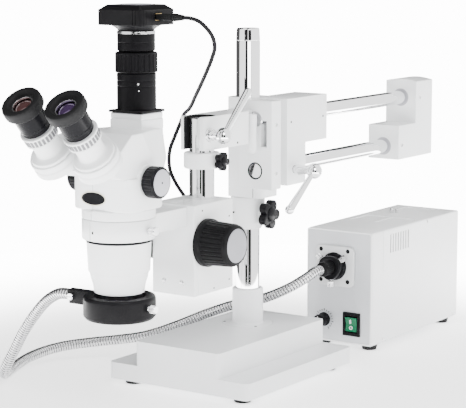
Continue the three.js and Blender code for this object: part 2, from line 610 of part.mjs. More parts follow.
// ---------------------------------------------------------------- the whole object
const standGroup = group(
  [0, 0, 0], standBase(), ...baseFeet(), postSocket(), mainPost(), postCap(), safetyCollar(),
  starKnob('collar_knob', [0, collar.knobZ], 17.4, 27, 41, 20, 5), carriageBlock(),
  clampLever('carriage_lever', carriageStud, 56, carriage.right, 98, [102, -55, 234]),
);
const boomGroup = group(
  [0, 0, 0], boomRod('upper_rod', rod.upper, rod.back), boomRod('lower_rod', rod.lower, rod.back),
  frontEndBlock(), rearEndBlock(), dropArm(),
  clampLever('arm_lever', armStud, 43, arm.right, 66, [70, -105, 388.5]),
);
const focusGroup = group(
  [dropAxis.x, dropAxis.y, 0], dropPostBar(), dropCollar(), starKnob('drop_collar_knob', [0, 303], 17.4, 25, 37, 12, 5),
  focusHousing(), focusKnobs(), focusRack(),
);
const headGroup = group(
  [optics.x, optics.y, optics.z], headHolder(), thumbscrew('holder_thumbscrew', steel, [0, 237], 40.4, 45, 56, 5.5),
  zoomBody(), objectiveLens(), zoomKnobs(), trinocularBlock(), photoTube(), photoFocusRing(),
  cameraBody(), cameraPlug(), ocularSet(-1, 'left'), ocularSet(1, 'right'), ringLight(),
  thumbscrew('ring_light_thumbscrew', steel, [0, 143], 32.5, 45, 55, 5),
);
const lampGroup = group(
  [lamp.x, lamp.y, 0], lampCover(), lampChassis(), lampPanel(), lampSocketBlock(), guideFerrule(),
  socketScrew(), intensityDial(), powerRocker(), lampModule(), transformer(), coolingFan(), powerInlet(),
);
const cordGroup = group(
  [0, 0, 0], cord('light_guide', steel, guideRoute, 7, 10, 24), cord('camera_cable', rubber, cableRoute, 2.5, 8, 52),
  cableCoil(), usbPlug(),
);

const microscope = new THREE.Group();
microscope.add(standGroup, boomGroup, focusGroup, headGroup, lampGroup);
microscope.updateMatrixWorld(true);
const reach = new THREE.Box3().setFromObject(microscope, true);
microscope.add(cordGroup);
microscope.position.set(-(reach.min.x + reach.max.x) / 2, -(reach.min.y + reach.max.y) / 2, 0);

export default microscope;
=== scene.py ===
"""Looks of the trinocular stereo microscope on its double-arm boom stand.

Every place is in millimetres from the foot of the main post's axis, as in the part's own design, or from the
axis of one of its assemblies. The frame gives where those axes are, in metres.
"""
import math

import bmesh
import bpy
from mathutils import Matrix, Vector


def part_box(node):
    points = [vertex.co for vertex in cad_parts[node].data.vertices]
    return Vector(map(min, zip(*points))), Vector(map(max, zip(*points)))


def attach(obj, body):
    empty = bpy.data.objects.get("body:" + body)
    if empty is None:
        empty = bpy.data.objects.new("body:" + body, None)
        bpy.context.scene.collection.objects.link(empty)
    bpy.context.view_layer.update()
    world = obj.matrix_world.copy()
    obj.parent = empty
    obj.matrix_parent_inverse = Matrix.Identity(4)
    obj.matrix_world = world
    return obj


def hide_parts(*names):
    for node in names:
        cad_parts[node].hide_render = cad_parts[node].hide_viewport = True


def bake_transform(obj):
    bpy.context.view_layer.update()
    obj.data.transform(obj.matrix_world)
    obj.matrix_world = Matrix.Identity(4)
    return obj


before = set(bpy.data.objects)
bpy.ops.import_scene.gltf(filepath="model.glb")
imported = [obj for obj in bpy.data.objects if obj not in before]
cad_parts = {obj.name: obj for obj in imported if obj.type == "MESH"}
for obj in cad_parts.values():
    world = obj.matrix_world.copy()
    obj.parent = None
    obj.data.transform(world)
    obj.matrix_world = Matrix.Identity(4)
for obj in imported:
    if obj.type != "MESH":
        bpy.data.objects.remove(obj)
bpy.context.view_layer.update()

MM = 0.001


def middle_of(node):
    """The middle of a node's box, in metres."""
    low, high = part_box(node)
    return (Vector(low) + Vector(high)) / 2


def upright(node, lower=0.0):
    """A frame of reference on the vertical axis of a node, its zero this many millimetres above the bench."""
    centre = middle_of(node)
    return Matrix.Translation((centre.x, centre.y, lower * MM))


STAND = upright("main_post")
FOCUS = upright("drop_post")
HEAD = upright("objective_lens", 2)
LAMP = Matrix.Translation(
    (middle_of("illuminator_cover").x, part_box("illuminator_front_panel")[0][1] + 0.0024, 0)
)


def place(point, where=STAND):
    return where @ (Vector(point) * MM)


# ---------------------------------------------------------------- camera, floor and light
def add_camera():
    """A long lens, about 2.4 m away, to the right of the user and a little above the head."""
    data = bpy.data.cameras.new("camera")
    data.sensor_width = 36
    data.lens = 137
    data.clip_end = 50
    camera = bpy.data.objects.new("camera", data)
    camera.location = place((1318.5, -1968.4, 584.2))
    camera.rotation_euler = (math.radians(90 - 8.6), 0, math.radians(34.3))
    bpy.context.collection.objects.link(camera)
    bpy.context.scene.camera = camera


def add_light(name, where, aim, size, power):
    data = bpy.data.lights.new(name, "AREA")
    data.shape = "RECTANGLE"
    data.size, data.size_y = size
    data.energy = power
    light = bpy.data.objects.new(name, data)
    light.location = where
    light.rotation_euler = (Vector(aim) - Vector(where)).to_track_quat("-Z", "Y").to_euler()
    bpy.context.collection.objects.link(light)


def add_world():
    """A white studio, with dark gaps between its panels that show as stripes in the chrome."""
    world = bpy.data.worlds.new("studio")
    bpy.context.scene.world = world
    world.use_nodes = True
    nodes, links = world.node_tree.nodes, world.node_tree.links
    nodes.clear()
    direction = nodes.new("ShaderNodeTexCoord")
    split = nodes.new("ShaderNodeSeparateXYZ")
    around = nodes.new("ShaderNodeMath")
    around.operation = "ARCTAN2"
    links.new(direction.outputs["Generated"], split.inputs[0])
    links.new(split.outputs["Y"], around.inputs[0])
    links.new(split.outputs["X"], around.inputs[1])
    panels = nodes.new("ShaderNodeValToRGB")
    turns = nodes.new("ShaderNodeMapRange")
    turns.inputs["From Min"].default_value = -math.pi
    turns.inputs["From Max"].default_value = math.pi
    links.new(around.outputs[0], turns.inputs["Value"])
    links.new(turns.outputs[0], panels.inputs[0])
    ramp = panels.color_ramp
    ramp.elements.remove(ramp.elements[1])
    ramp.elements[0].color = (PANELS[0][1],) * 3 + (1,)
    for position, shade in PANELS[1:]:
        ramp.elements.new(position).color = (shade, shade, shade, 1)
    seen = nodes.new("ShaderNodeLightPath")
    choose = nodes.new("ShaderNodeMixShader")
    links.new(seen.outputs["Is Camera Ray"], choose.inputs[0])
    studio = nodes.new("ShaderNodeBackground")
    studio.inputs["Strength"].default_value = STUDIO_GLOW
    links.new(studio.outputs[0], choose.inputs[1])
    links.new(panels.outputs[0], studio.inputs["Color"])
    backdrop = nodes.new("ShaderNodeBackground")
    backdrop.inputs["Strength"].default_value = BACKDROP_GLOW
    backdrop.inputs["Color"].default_value = (1, 1, 1, 1)
    links.new(backdrop.outputs[0], choose.inputs[2])
    output = nodes.new("ShaderNodeOutputWorld")
    links.new(choose.outputs[0], output.inputs[0])


KEY_POWER = 90
STUDIO_GLOW = 2.5
BACKDROP_GLOW = 14.0
FLOOR_GLOW = {"under the object": 1.6, "at the edge": 13.0}

# Each pair is a place round the horizon, from 0 to 1, and how bright the studio is there.
PANELS = [
    (0.0, 0.05), (0.085, 0.05), (0.095, 1.0), (0.27, 1.0), (0.275, 0.01), (0.335, 0.01), (0.34, 0.8),
    (0.352, 0.8), (0.357, 0.01), (0.43, 0.01), (0.435, 1.0), (0.765, 1.0), (0.775, 0.05), (1.0, 0.05),
]


def add_floor():
    """A pale floor that glows more and more towards its edge, so that it runs into the backdrop."""
    data = bpy.data.meshes.new("floor")
    around = 96
    rim = [(math.cos(i / around * math.tau), math.sin(i / around * math.tau), 0) for i in range(around)]
    data.from_pydata(rim, [], [tuple(range(around))])
    floor = bpy.data.objects.new("floor", data)
    floor.location.z = -0.0003
    paint = bpy.data.materials.new("floor")
    paint.use_nodes = True
    shader = paint.node_tree.nodes["Principled BSDF"]
    shader.inputs["Base Color"].default_value = (0.93, 0.93, 0.93, 1)
    shader.inputs["Roughness"].default_value = 0.9
    shader.inputs["Emission Color"].default_value = (1, 1, 1, 1)
    nodes, links = paint.node_tree.nodes, paint.node_tree.links
    where = nodes.new("ShaderNodeTexCoord")
    distance = nodes.new("ShaderNodeVectorMath")
    distance.operation = "LENGTH"
    links.new(where.outputs["Object"], distance.inputs[0])
    glow = nodes.new("ShaderNodeMapRange")
    glow.interpolation_type = "SMOOTHERSTEP"
    glow.inputs["From Min"].default_value = 0.3
    glow.inputs["From Max"].default_value = 0.95
    glow.inputs["To Min"].default_value = FLOOR_GLOW["under the object"]
    glow.inputs["To Max"].default_value = FLOOR_GLOW["at the edge"]
    links.new(distance.outputs["Value"], glow.inputs["Value"])
    links.new(glow.outputs[0], shader.inputs["Emission Strength"])
    data.materials.append(paint)
    bpy.context.collection.objects.link(floor)


# ---------------------------------------------------------------- materials
def surface(
    name, color, roughness, metallic=0.0, grain=900, depth=0.02, mottle=0.03, spread=0.05,
    worn=0.0, coat=0.0, shine=0.5,
):
    """A procedural finish: its colour and roughness drift a little, and a fine grain stands in relief.

    grain is the grain's scale per metre and depth its height in millimetres. worn is how much paler the paint
    is along its edges, where hands and tools rub it. shine is how strongly it mirrors its surroundings.
    """
    paint = bpy.data.materials.new(name)
    paint.use_nodes = True
    nodes, links = paint.node_tree.nodes, paint.node_tree.links
    shader = nodes["Principled BSDF"]
    shader.inputs["Metallic"].default_value = metallic
    shader.inputs["Coat Weight"].default_value = coat
    shader.inputs["Specular IOR Level"].default_value = shine
    shader.inputs["Coat Roughness"].default_value = 0.08
    where = nodes.new("ShaderNodeTexCoord")

    def noise(scale, detail):
        texture = nodes.new("ShaderNodeTexNoise")
        texture.inputs["Scale"].default_value = scale
        texture.inputs["Detail"].default_value = detail
        links.new(where.outputs["Object"], texture.inputs["Vector"])
        return texture.outputs["Fac"]

    def between(value, low, high):
        span = nodes.new("ShaderNodeMapRange")
        span.inputs["From Min"].default_value = 0.3
        span.inputs["From Max"].default_value = 0.7
        span.inputs["To Min"].default_value = low
        span.inputs["To Max"].default_value = high
        links.new(value, span.inputs["Value"])
        return span.outputs["Result"]

    drift = nodes.new("ShaderNodeMix")
    drift.data_type = "RGBA"
    drift.inputs["A"].default_value = (*[c * (1 - mottle) for c in color], 1)
    drift.inputs["B"].default_value = (*[min(1, c * (1 + mottle)) for c in color], 1)
    links.new(between(noise(22, 4), 0, 1), drift.inputs["Factor"])
    tint = drift.outputs["Result"]
    if worn:
        edge = nodes.new("ShaderNodeNewGeometry")
        ramp = nodes.new("ShaderNodeMapRange")
        ramp.inputs["From Min"].default_value = 0.53
        ramp.inputs["From Max"].default_value = 0.62
        ramp.inputs["To Max"].default_value = worn
        links.new(edge.outputs["Pointiness"], ramp.inputs["Value"])
        rub = nodes.new("ShaderNodeMix")
        rub.data_type = "RGBA"
        rub.inputs["B"].default_value = (*[min(1, c + 0.16) for c in color], 1)
        links.new(ramp.outputs["Result"], rub.inputs["Factor"])
        links.new(tint, rub.inputs["A"])
        tint = rub.outputs["Result"]
    links.new(tint, shader.inputs["Base Color"])
    links.new(between(noise(60, 3), roughness - spread, roughness + spread), shader.inputs["Roughness"])
    bump = nodes.new("ShaderNodeBump")
    bump.inputs["Strength"].default_value = 0.6
    bump.inputs["Distance"].default_value = depth * MM
    links.new(noise(grain, 3), bump.inputs["Height"])
    links.new(bump.outputs["Normal"], shader.inputs["Normal"])
    return paint


enamel = surface("white_enamel", (0.80, 0.81, 0.82), 0.38, grain=700, depth=0.03, mottle=0.015)
casting = surface("white_powder_coat", (0.80, 0.81, 0.815), 0.36, grain=1100, depth=0.04, mottle=0.015)
sheet_enamel = surface("white_sheet_enamel", (0.83, 0.835, 0.84), 0.42, grain=1500, depth=0.02, mottle=0.012)
panel_paint = surface("silver_grey_paint", (0.55, 0.56, 0.58), 0.45, metallic=0.35, grain=2500, depth=0.015)
pale_plastic = surface("pale_grey_plastic", (0.62, 0.625, 0.63), 0.45, grain=1400, depth=0.02)
chrome = surface("hard_chrome", (0.86, 0.86, 0.87), 0.05, metallic=1.0, grain=400, depth=0.002, spread=0.015)
nickel = surface("nickel_plate", (0.72, 0.72, 0.73), 0.2, metallic=1.0, grain=1600, depth=0.01, spread=0.05)
hose_steel = surface("hose_steel", (0.62, 0.62, 0.63), 0.24, metallic=1.0, grain=900, depth=0.01, spread=0.06)
# Painted shade: near-black laid on the steel sleeve's grooves for the shade between its bands.
painted_hose_groove_shade = surface("painted_hose_groove_shade", (0.05, 0.05, 0.052), 0.5, grain=900, depth=0.01, shine=0.1)
zinc = surface("zinc_sheet", (0.6, 0.61, 0.62), 0.4, metallic=1.0, grain=300, depth=0.01, mottle=0.08)
black_plastic = surface(
    "black_plastic", (0.006, 0.006, 0.0065), 0.38, grain=1800, depth=0.02, worn=0.04, shine=0.06,
)
gloss_black = surface(
    "gloss_black", (0.005, 0.005, 0.006), 0.2, grain=900, depth=0.006, worn=0.04, shine=0.07,
)
anodised = surface(
    "black_anodised", (0.005, 0.0048, 0.0055), 0.36, grain=2400, depth=0.008, worn=0.04, shine=0.06,
)
rubber = surface("black_rubber", (0.006, 0.006, 0.0065), 0.6, grain=1300, depth=0.05, worn=0.1, shine=0.14)
jacket = surface("cable_jacket", (0.008, 0.008, 0.009), 0.5, grain=800, depth=0.02, shine=0.08)
cap_grey = surface("grey_cap", (0.36, 0.36, 0.39), 0.42, grain=1500, depth=0.015, metallic=0.2)
focus_grey = surface("dark_grey_cap", (0.2, 0.2, 0.22), 0.35, grain=1500, depth=0.015, metallic=0.2)
rib_grey = surface("grey_grip", (0.13, 0.13, 0.14), 0.5, grain=1500, depth=0.02)
print_black = surface("black_print", (0.03, 0.03, 0.035), 0.5, grain=1500, depth=0.005)
print_white = surface("white_print", (0.75, 0.75, 0.75), 0.5, grain=1500, depth=0.005)
# Near-black. On holes, screw sockets, bore mouths and behind the lamp's vents it is painted shade of their
# insides.
recess_shade = surface("painted_recess_shade", (0.006, 0.006, 0.007), 0.7, grain=1500, depth=0.02, shine=0.05)
gold = surface("gold_contact", (0.75, 0.55, 0.28), 0.3, metallic=1.0, grain=900, depth=0.005)
green = surface("green_rocker", (0.002, 0.12, 0.05), 0.25, grain=500, depth=0.01, shine=0.25)
gold_rim = surface("badge_rim", (0.72, 0.70, 0.60), 0.35, metallic=0.2, grain=900, depth=0.005)
violet_glass = surface(
    "violet_lens", (0.07, 0.035, 0.11), 0.04, metallic=0.55, grain=60, depth=0.001, mottle=0.4, spread=0.01,
    coat=1.0,
)
amber_glass = surface(
    "amber_lens", (0.085, 0.035, 0.035), 0.04, metallic=0.55, grain=60, depth=0.001, mottle=0.4,
    spread=0.01, coat=1.0,
)


# ---------------------------------------------------------------- solids
def mesh_object(name, points, faces):
    """A new object from points in millimetres, its faces outwards."""
    data = bpy.data.meshes.new(name)
    data.from_pydata([Vector(p) * MM for p in points], [], faces)
    shape = bmesh.new()
    shape.from_mesh(data)
    bmesh.ops.recalc_face_normals(shape, faces=shape.faces)
    shape.to_mesh(data)
    shape.free()
    made = bpy.data.objects.new(name, data)
    bpy.context.collection.objects.link(made)
    return made


def onto(axis, u, v, height):
    """A point of a drawing raised along an axis: (Y, Z) along X, (X, Z) along Y and (X, Y) along Z."""
    return {"x": (height, u, v), "y": (u, height, v), "z": (u, v, height)}[axis]


def softened(corners, radius, closed=True, steps=3):
    """An outline with each corner turned into a short arc of this radius, or less on short sides."""
    flat = [Vector(c) for c in corners]
    made = []
    for i, corner in enumerate(flat):
        if not closed and i in (0, len(flat) - 1):
            made.append(tuple(corner))
            continue
        back, ahead = flat[i - 1] - corner, flat[(i + 1) % len(flat)] - corner
        reach = min(radius, back.length * 0.48, ahead.length * 0.48)
        start, end = corner + back.normalized() * reach, corner + ahead.normalized() * reach
        for step in range(steps + 1):
            t = step / steps
            made.append(tuple(start * (1 - t) ** 2 + corner * 2 * t * (1 - t) + end * t * t))
    return made


def rectangle(u, v, radius=0.0):
    corners = [(u[0], v[0]), (u[1], v[0]), (u[1], v[1]), (u[0], v[1])]
    return softened(corners, radius, steps=6) if radius else corners


def prism(axis, low, high, outline):
    """A straight bar of any outline along an axis."""
    count = len(outline)
    points = [onto(axis, u, v, h) for h in (low, high) for u, v in outline]
    sides = [(i, (i + 1) % count, (i + 1) % count + count, i + count) for i in range(count)]
    return mesh_object("bar", points, sides + [tuple(range(count)), tuple(range(count, 2 * count))])


def block(x, y, z):
    return prism("z", *z, rectangle(x, y))


def turned(axis, middle, profile, soft=0.0, sides=64, ribs=None, hollow=False):
    """A turned piece from a profile of (radius, distance along the axis).

    soft rounds the profile's corners. ribs is (count, depth, from, to): grooves cut along that stretch.
    hollow closes the profile on itself, which makes a ring.
    """
    if soft:
        profile = softened(profile, soft, closed=hollow)
    if ribs:
        profile = with_steps(profile, *ribs[2:])
    points = []
    for radius, height in profile:
        for side in range(sides):
            turn = side / sides * math.tau
            r = radius
            if ribs and ribs[2] <= height <= ribs[3]:
                r -= ribs[1] * max(0.0, math.cos(ribs[0] * turn)) ** 0.5
            points.append(onto(axis, middle[0] + r * math.cos(turn), middle[1] + r * math.sin(turn), height))
    rows = len(profile)
    faces = []
    for row in range(rows if hollow else rows - 1):
        a, b = row * sides, (row + 1) % rows * sides
        faces += [(a + i, a + (i + 1) % sides, b + (i + 1) % sides, b + i) for i in range(sides)]
    if not hollow:
        faces += [tuple(range(sides)), tuple(range((rows - 1) * sides, rows * sides))]
    return mesh_object("turned", points, faces)


def with_steps(profile, start, end):
    """The profile with points added just inside and outside the ends of a ribbed stretch."""
    made = [profile[0]]
    for (r0, h0), (r1, h1) in zip(profile, profile[1:]):
        low, high = min(h0, h1), max(h0, h1)
        stops = [h for h in (start - 0.3, start, end, end + 0.3) if low < h < high]
        for h in stops if h1 > h0 else reversed(stops):
            made.append((r0 + (r1 - r0) * (h - h0) / (h1 - h0), h))
        made.append((r1, h1))
    return made


def cylinder(axis, low, high, radius, middle, sides=48):
    return turned(axis, middle, [(radius, low), (radius, high)], sides=sides)


def ring(axis, middle, profile, bore, soft=0.0, **how):
    """A turned piece with a straight bore."""
    inside = [(bore, profile[-1][1]), (bore, profile[0][1])]
    return turned(axis, middle, list(profile) + inside, soft, hollow=True, **how)


def rod_between(start, end, radius_start, radius_end, sides=40):
    """A round bar between two points, thicker or thinner at its second end."""
    a, b = Vector(start), Vector(end)
    turn = (b - a).to_track_quat("Z", "Y").to_matrix().to_4x4()
    bar = turned("z", (0, 0), [(radius_start, 0), (radius_end, (b - a).length)], sides=sides)
    bar.data.transform(Matrix.Translation(a * MM) @ turn)
    return bar


def ball(centre, radius, around=40):
    """A sphere as a lathe profile turned round Z."""
    tilts = [(i + 0.02) / 20 * math.pi for i in range(20)]
    rows = [(radius * math.sin(t), radius * -math.cos(t)) for t in tilts]
    rows.append((radius * 0.01, radius))
    made = turned("z", (0, 0), rows, sides=around)
    made.data.transform(Matrix.Translation(Vector(centre) * MM))
    return made


def baked(made):
    """Turns an object's modifiers into mesh."""
    graph = bpy.context.evaluated_depsgraph_get()
    data = bpy.data.meshes.new_from_object(made.evaluated_get(graph))
    made.modifiers.clear()
    made.data = data
    return made


def combined(whole, add=(), cut=()):
    """Joins solids to one and then cuts others from it."""
    for operation, tools in (("UNION", add), ("DIFFERENCE", cut)):
        for tool in tools:
            step = whole.modifiers.new(operation, "BOOLEAN")
            step.operation = operation
            step.object = tool
            step.solver = "MANIFOLD"
    baked(whole)
    for tool in (*add, *cut):
        bpy.data.objects.remove(tool)
    return whole


def rounded(made, width, steps=3, angle=32):
    """Rounds every sharp edge of a solid to about this many millimetres."""
    bevel = made.modifiers.new("round", "BEVEL")
    bevel.width = width * MM
    bevel.segments = steps
    bevel.limit_method = "ANGLE"
    bevel.angle_limit = math.radians(angle)
    bevel.use_clamp_overlap = True
    return baked(made)


def cast(made, grid=1.1, passes=6):
    """Melts a solid's edges as a mould does: remeshed on a fine grid and smoothed."""
    remesh = made.modifiers.new("grid", "REMESH")
    remesh.mode = "VOXEL"
    remesh.voxel_size = grid * MM
    smooth = made.modifiers.new("melt", "SMOOTH")
    smooth.factor = 0.5
    smooth.iterations = passes
    return baked(made)


def gathered(first, *others):
    """Several objects as one, each still a solid of its own."""
    shape = bmesh.new()
    for each in (first, *others):
        shape.from_mesh(each.data)
    shape.to_mesh(first.data)
    shape.free()
    for each in others:
        bpy.data.objects.remove(each)
    return first


def show(name, made, paint, body, nodes, where=STAND, angle=40):
    """Finishes a piece: place, material, shading, the body it rides on and the nodes it stands for."""
    made.name = made.data.name = name
    made.data.transform(where)
    made.data.materials.clear()
    made.data.materials.append(paint)
    for face in made.data.polygons:
        face.material_index = 0
        face.use_smooth = True
    made.data.set_sharp_from_angle(angle=math.radians(angle))
    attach(made, body)
    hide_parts(*nodes)
    return made


# ---------------------------------------------------------------- cords
def smooth_route(points, spacing):
    """Points this many millimetres apart on a smooth curve through the given ones."""
    given = [Vector(p) for p in points]
    knots = [given[0] * 2 - given[1], *given, given[-1] * 2 - given[-2]]
    dense = []
    for a, b, c, d in zip(knots, knots[1:], knots[2:], knots[3:]):
        t0, t1 = 0.0, (b - a).length ** 0.5
        t2 = t1 + (c - b).length ** 0.5
        t3 = t2 + (d - c).length ** 0.5
        for i in range(12):
            t = t1 + (t2 - t1) * i / 12
            ab = a.lerp(b, (t - t0) / (t1 - t0))
            bc = b.lerp(c, (t - t1) / (t2 - t1))
            cd = c.lerp(d, (t - t2) / (t3 - t2))
            before = ab.lerp(bc, (t - t0) / (t2 - t0))
            after = bc.lerp(cd, (t - t1) / (t3 - t1))
            dense.append(before.lerp(after, (t - t1) / (t2 - t1)))
    dense.append(given[-1])
    lengths = [(b - a).length for a, b in zip(dense, dense[1:])]
    steps = round(sum(lengths) / spacing)
    spacing = sum(lengths) / steps
    route, gone, index = [dense[0]], 0.0, 0
    for step in range(1, steps):
        while gone + lengths[index] < step * spacing:
            gone += lengths[index]
            index += 1
        route.append(dense[index].lerp(dense[index + 1], (step * spacing - gone) / lengths[index]))
    return [*route, dense[-1]], spacing


def tube(route, first, last, spacing, radius_at, sides):
    """A closed tube along part of a route. radius_at(distance, turn) is its radius there."""
    points = []
    up = Vector((0.3, 0.2, 1)).normalized()
    for i in range(len(route)):
        ahead = (route[min(i + 1, len(route) - 1)] - route[max(i - 1, 0)]).normalized()
        up = (up - ahead * up.dot(ahead)).normalized()
        if not first <= i <= last:
            continue
        side = ahead.cross(up)
        for j in range(sides):
            turn = j / sides * math.tau
            points.append(
                route[i] + (side * math.cos(turn) + up * math.sin(turn)) * radius_at(i * spacing, turn)
            )
    rows = last - first + 1
    faces = []
    for row in range(rows - 1):
        a, b = row * sides, (row + 1) * sides
        faces += [(a + i, a + (i + 1) % sides, b + (i + 1) % sides, b + i) for i in range(sides)]
    faces += [tuple(range(sides)), tuple(range((rows - 1) * sides, rows * sides))]
    return mesh_object("tube", points, faces)


def jointed_cord(
    name, paint, node, points, spacing, radius_at, sides, stretches, diameter,
    groove_shade_paint=None,
):
    """A free cord in consecutive lengths, one for each of the given stretches."""
    route, spacing = smooth_route(points, spacing)
    total = (len(route) - 1) * spacing
    scale = total / sum(stretches)
    marks = [round(sum(stretches[:i]) * scale / spacing) for i in range(len(stretches) + 1)]
    for i, (first, last) in enumerate(zip(marks, marks[1:])):
        piece = tube(route, first, last, spacing, radius_at, sides)
        piece.name = piece.data.name = f"{name}_{i + 1}"
        piece.data.transform(STAND)
        piece.data.materials.append(paint)
        if groove_shade_paint:
            piece.data.materials.append(groove_shade_paint)
        for count, face in enumerate(piece.data.polygons):
            face.use_smooth = True
            row, side = divmod(count, sides)
            radius = radius_at((first + row + 0.5) * spacing, (side + 0.5) / sides * math.tau)
            # faces sunk into the sleeve's grooves take the painted groove shade
            face.material_index = int(groove_shade_paint is not None and radius < 0.965 * diameter / 2)
        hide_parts(node)
        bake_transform(piece)


GUIDE_ROUTE = [
    (40, 122.4, 120), (40, 110, 120), (35, 93, 113), (22, 76, 102), (0, 64, 90), (-26, 57, 80),
    (-56, 46, 72), (-88, 25, 59), (-120, -4, 43), (-150, -32, 31), (-182, -52, 25), (-214, -74, 21),
    (-238, -100, 18), (-250, -130, 15), (-252, -162, 12), (-246, -194, 9), (-234, -224, 8), (-218, -252, 12),
    (-200, -270, 26), (-181, -276, 50), (-158, -282, 80), (-132, -289, 108), (-104, -296, 132),
    (-82, -299.5, 143.5), (-72, -300, 145), (-62.6, -300, 145),
]
CABLE_ROUTE = [
    (96.5, -279, 489.5), (106, -279, 489), (115, -276, 486), (121, -270, 479), (125, -262, 468),
    (123, -254, 455), (111, -243, 440), (86, -222, 417), (48, -188, 388.5), (15, -156, 368),
    (2, -149, 360), (-5.5, -147, 348), (-12, -149, 332), (-20, -150, 312), (-24.5, -144, 288),
    (-23, -133, 268), (-21, -121, 253), (-19.5, -108, 238), (-21, -86, 214), (-26, -50, 196),
    (-26, -20, 184), (-23, 6, 170), (-16, 22, 148), (-12, 27, 118), (-14, 29, 90), (-18, 35, 73),
    (-26, 49, 66.8), (-36, 65, 66.6), (-42, 80, 67.2), (-49, 90, 50), (-56, 96, 28), (-62, 104, 9),
    (-66, 114, 3.2), (-64, 124, 3.1), (-56, 129.6, 3.1),
]
HOSE = {"radius": 7.0, "groove": 0.9, "pitch": 4.0}
CABLE = {"radius": 2.5, "pitch": 5.2}
COIL = {"x": -60, "y": 165.6, "radius": 27.5, "spread": 5.2, "rise": 5.1, "turns": 4.15}


def hose_radius(distance, turn):
    """The interlocked steel sleeve: a helix of rounded bands with a narrow groove between them."""
    phase = (distance / HOSE["pitch"] + turn / math.tau) % 1
    return HOSE["radius"] - HOSE["groove"] * abs(2 * phase - 1) ** 4


def light_guide():
    jointed_cord(
        "light_guide", hose_steel, "light_guide", GUIDE_ROUTE, 0.66, hose_radius, 28,
        [105, 95, 226, 85, 86, 86, 87.5], 2 * HOSE["radius"],
        painted_hose_groove_shade,
    )


def coil_route():
    """Turns of cable lying beside and on each other, two across, from where it reaches the bench."""
    landing = CABLE_ROUTE[-1]
    start = math.atan2(landing[1] - COIL["y"], landing[0] - COIL["x"])
    steps = round(COIL["turns"] * 18)
    made = []
    for step in range(steps + 1):
        turn = step / steps * COIL["turns"]
        angle = start + turn * math.tau
        layer = min(1.0, max(0.0, (turn - 1.9) * 1.6))
        side = 0.5 - 0.5 * math.cos(min(1.0, max(0.0, turn - 0.45)) * math.pi)
        side -= 0.5 - 0.5 * math.cos(min(1.0, max(0.0, turn - 2.9)) * math.pi)
        radius = COIL["radius"] + COIL["spread"] / 2 * (1 - 2 * side)
        made.append((
            COIL["x"] + radius * math.cos(angle), COIL["y"] + radius * math.sin(angle),
            landing[2] + COIL["rise"] * layer,
        ))
    return made


def camera_cable():
    """The free cable over the joints of the stand, then the coil with its plug on the bench."""
    back = [tuple(p) for p in reversed(CABLE_ROUTE)]
    lie = [60, 70, 60, 250, 60, 60, 60]
    standing = 11
    jointed_cord(
        "camera_cable", jacket, "camera_cable", back[standing - 1:], 1.6, lambda *_: CABLE["radius"], 14,
        lie, 2 * CABLE["radius"],
    )
    route, spacing = smooth_route(CABLE_ROUTE[-standing:] + coil_route()[1:], 1.6)
    piece = tube(route, 0, len(route) - 1, spacing, lambda *_: CABLE["radius"], 14)
    show("camera_cable_coil_turns", piece, jacket, "stand", ["camera_cable", "camera_cable_coil"])


# ---------------------------------------------------------------- shared dimensions, in millimetres
POST_BORE = 16.5
ROD = {"x": 41.5, "upper": 347, "lower": 279, "bore": 10.5}
BLOCK_X = (16.5, 67.5)
DROP_AXIS = (26, -144)
CARRIAGE_STUD = (11, 277)
ARM_STUD = (-154, 337)
COLLAR_KNOB = (0, 215)
FOCUS_AXLE = (-37, 205)
ZOOM_AXLE = (0, 296)
PORT = (0, 37)
USB_AXIS = (37, 487.5)
SOCKET = (-4.75, 120)
DIAL = (-24, 40)
RING_LIGHT_BORE = 31.8


# ---------------------------------------------------------------- small repeated pieces
def mirrored(*pieces):
    """The same pieces on the other side of X = 0."""
    for made in pieces:
        made.data.transform(Matrix.Scale(-1, 4, (1, 0, 0)))
        made.data.flip_normals()


def screw_head(axis, face, middle, radius=2.2, proud=0.7, slot_turn=0.6):
    """A small slotted screw head a little proud of a face. proud is negative towards lower values."""
    low, high = sorted((face, face + proud))
    rims = (radius, radius * 0.82) if proud > 0 else (radius * 0.82, radius)
    head = turned(axis, middle, list(zip(rims, (low, high))), sides=24)
    slot = prism(
        axis, *sorted((face + proud * 0.4, face + proud * 2)),
        rectangle((-radius * 1.2, radius * 1.2), (-0.3, 0.3)),
    )
    slot.data.transform(Matrix.Rotation(slot_turn, 4, axis.upper()))
    slot.data.transform(Matrix.Translation(Vector(onto(axis, *middle, 0)) * MM))
    return combined(head, cut=[slot])


def set_screws(name, body, node, places, where=STAND, radius=1.5):
    """Small dark sockets flush with a face, their black painted shade of the socket holes: each is (axis,
    face, middle).
    """
    dots = []
    for axis, face, middle in places:
        outward = 1 if face > 0 else -1
        low, high = sorted((face - outward, face + 0.12 * outward))
        dots.append(cylinder(axis, low, high, radius, middle, 20))
    show(name, gathered(*dots), recess_shade, body, [node], where)


# ---------------------------------------------------------------- base, post and collar
def stand_base():
    """The slab with its raised middle and its rubber feet."""
    ledge = prism("z", 8, 30, rectangle((-101.5, 119.5), (-178, 77), 9))
    raised = prism("z", 9, 63, rectangle((-57.5, 75.5), (-178, 77), 7))
    whole = rounded(combined(ledge, [raised]), 2.4, 4)
    recess = cylinder("z", 57, 70, 34.9, (0, 0), 96)
    show("base", combined(whole, cut=[recess]), enamel, "stand", ["stand_base"], angle=60)
    pins = [cylinder("z", 62, 63.6, 2.0, at, 20) for at in ((-27.5, -15.5), (25, -18))]
    show("flange_pins", gathered(*pins), recess_shade, "stand", ["post_socket"])
    for i in range(1, 5):
        foot = turned("z", (0, 0), [(10.5, 0), (11.2, 0.8), (12, 7.7)], 0.4)
        show(f"foot_{i}", foot, rubber, "stand", [f"base_foot_{i}"], upright(f"base_foot_{i}"))


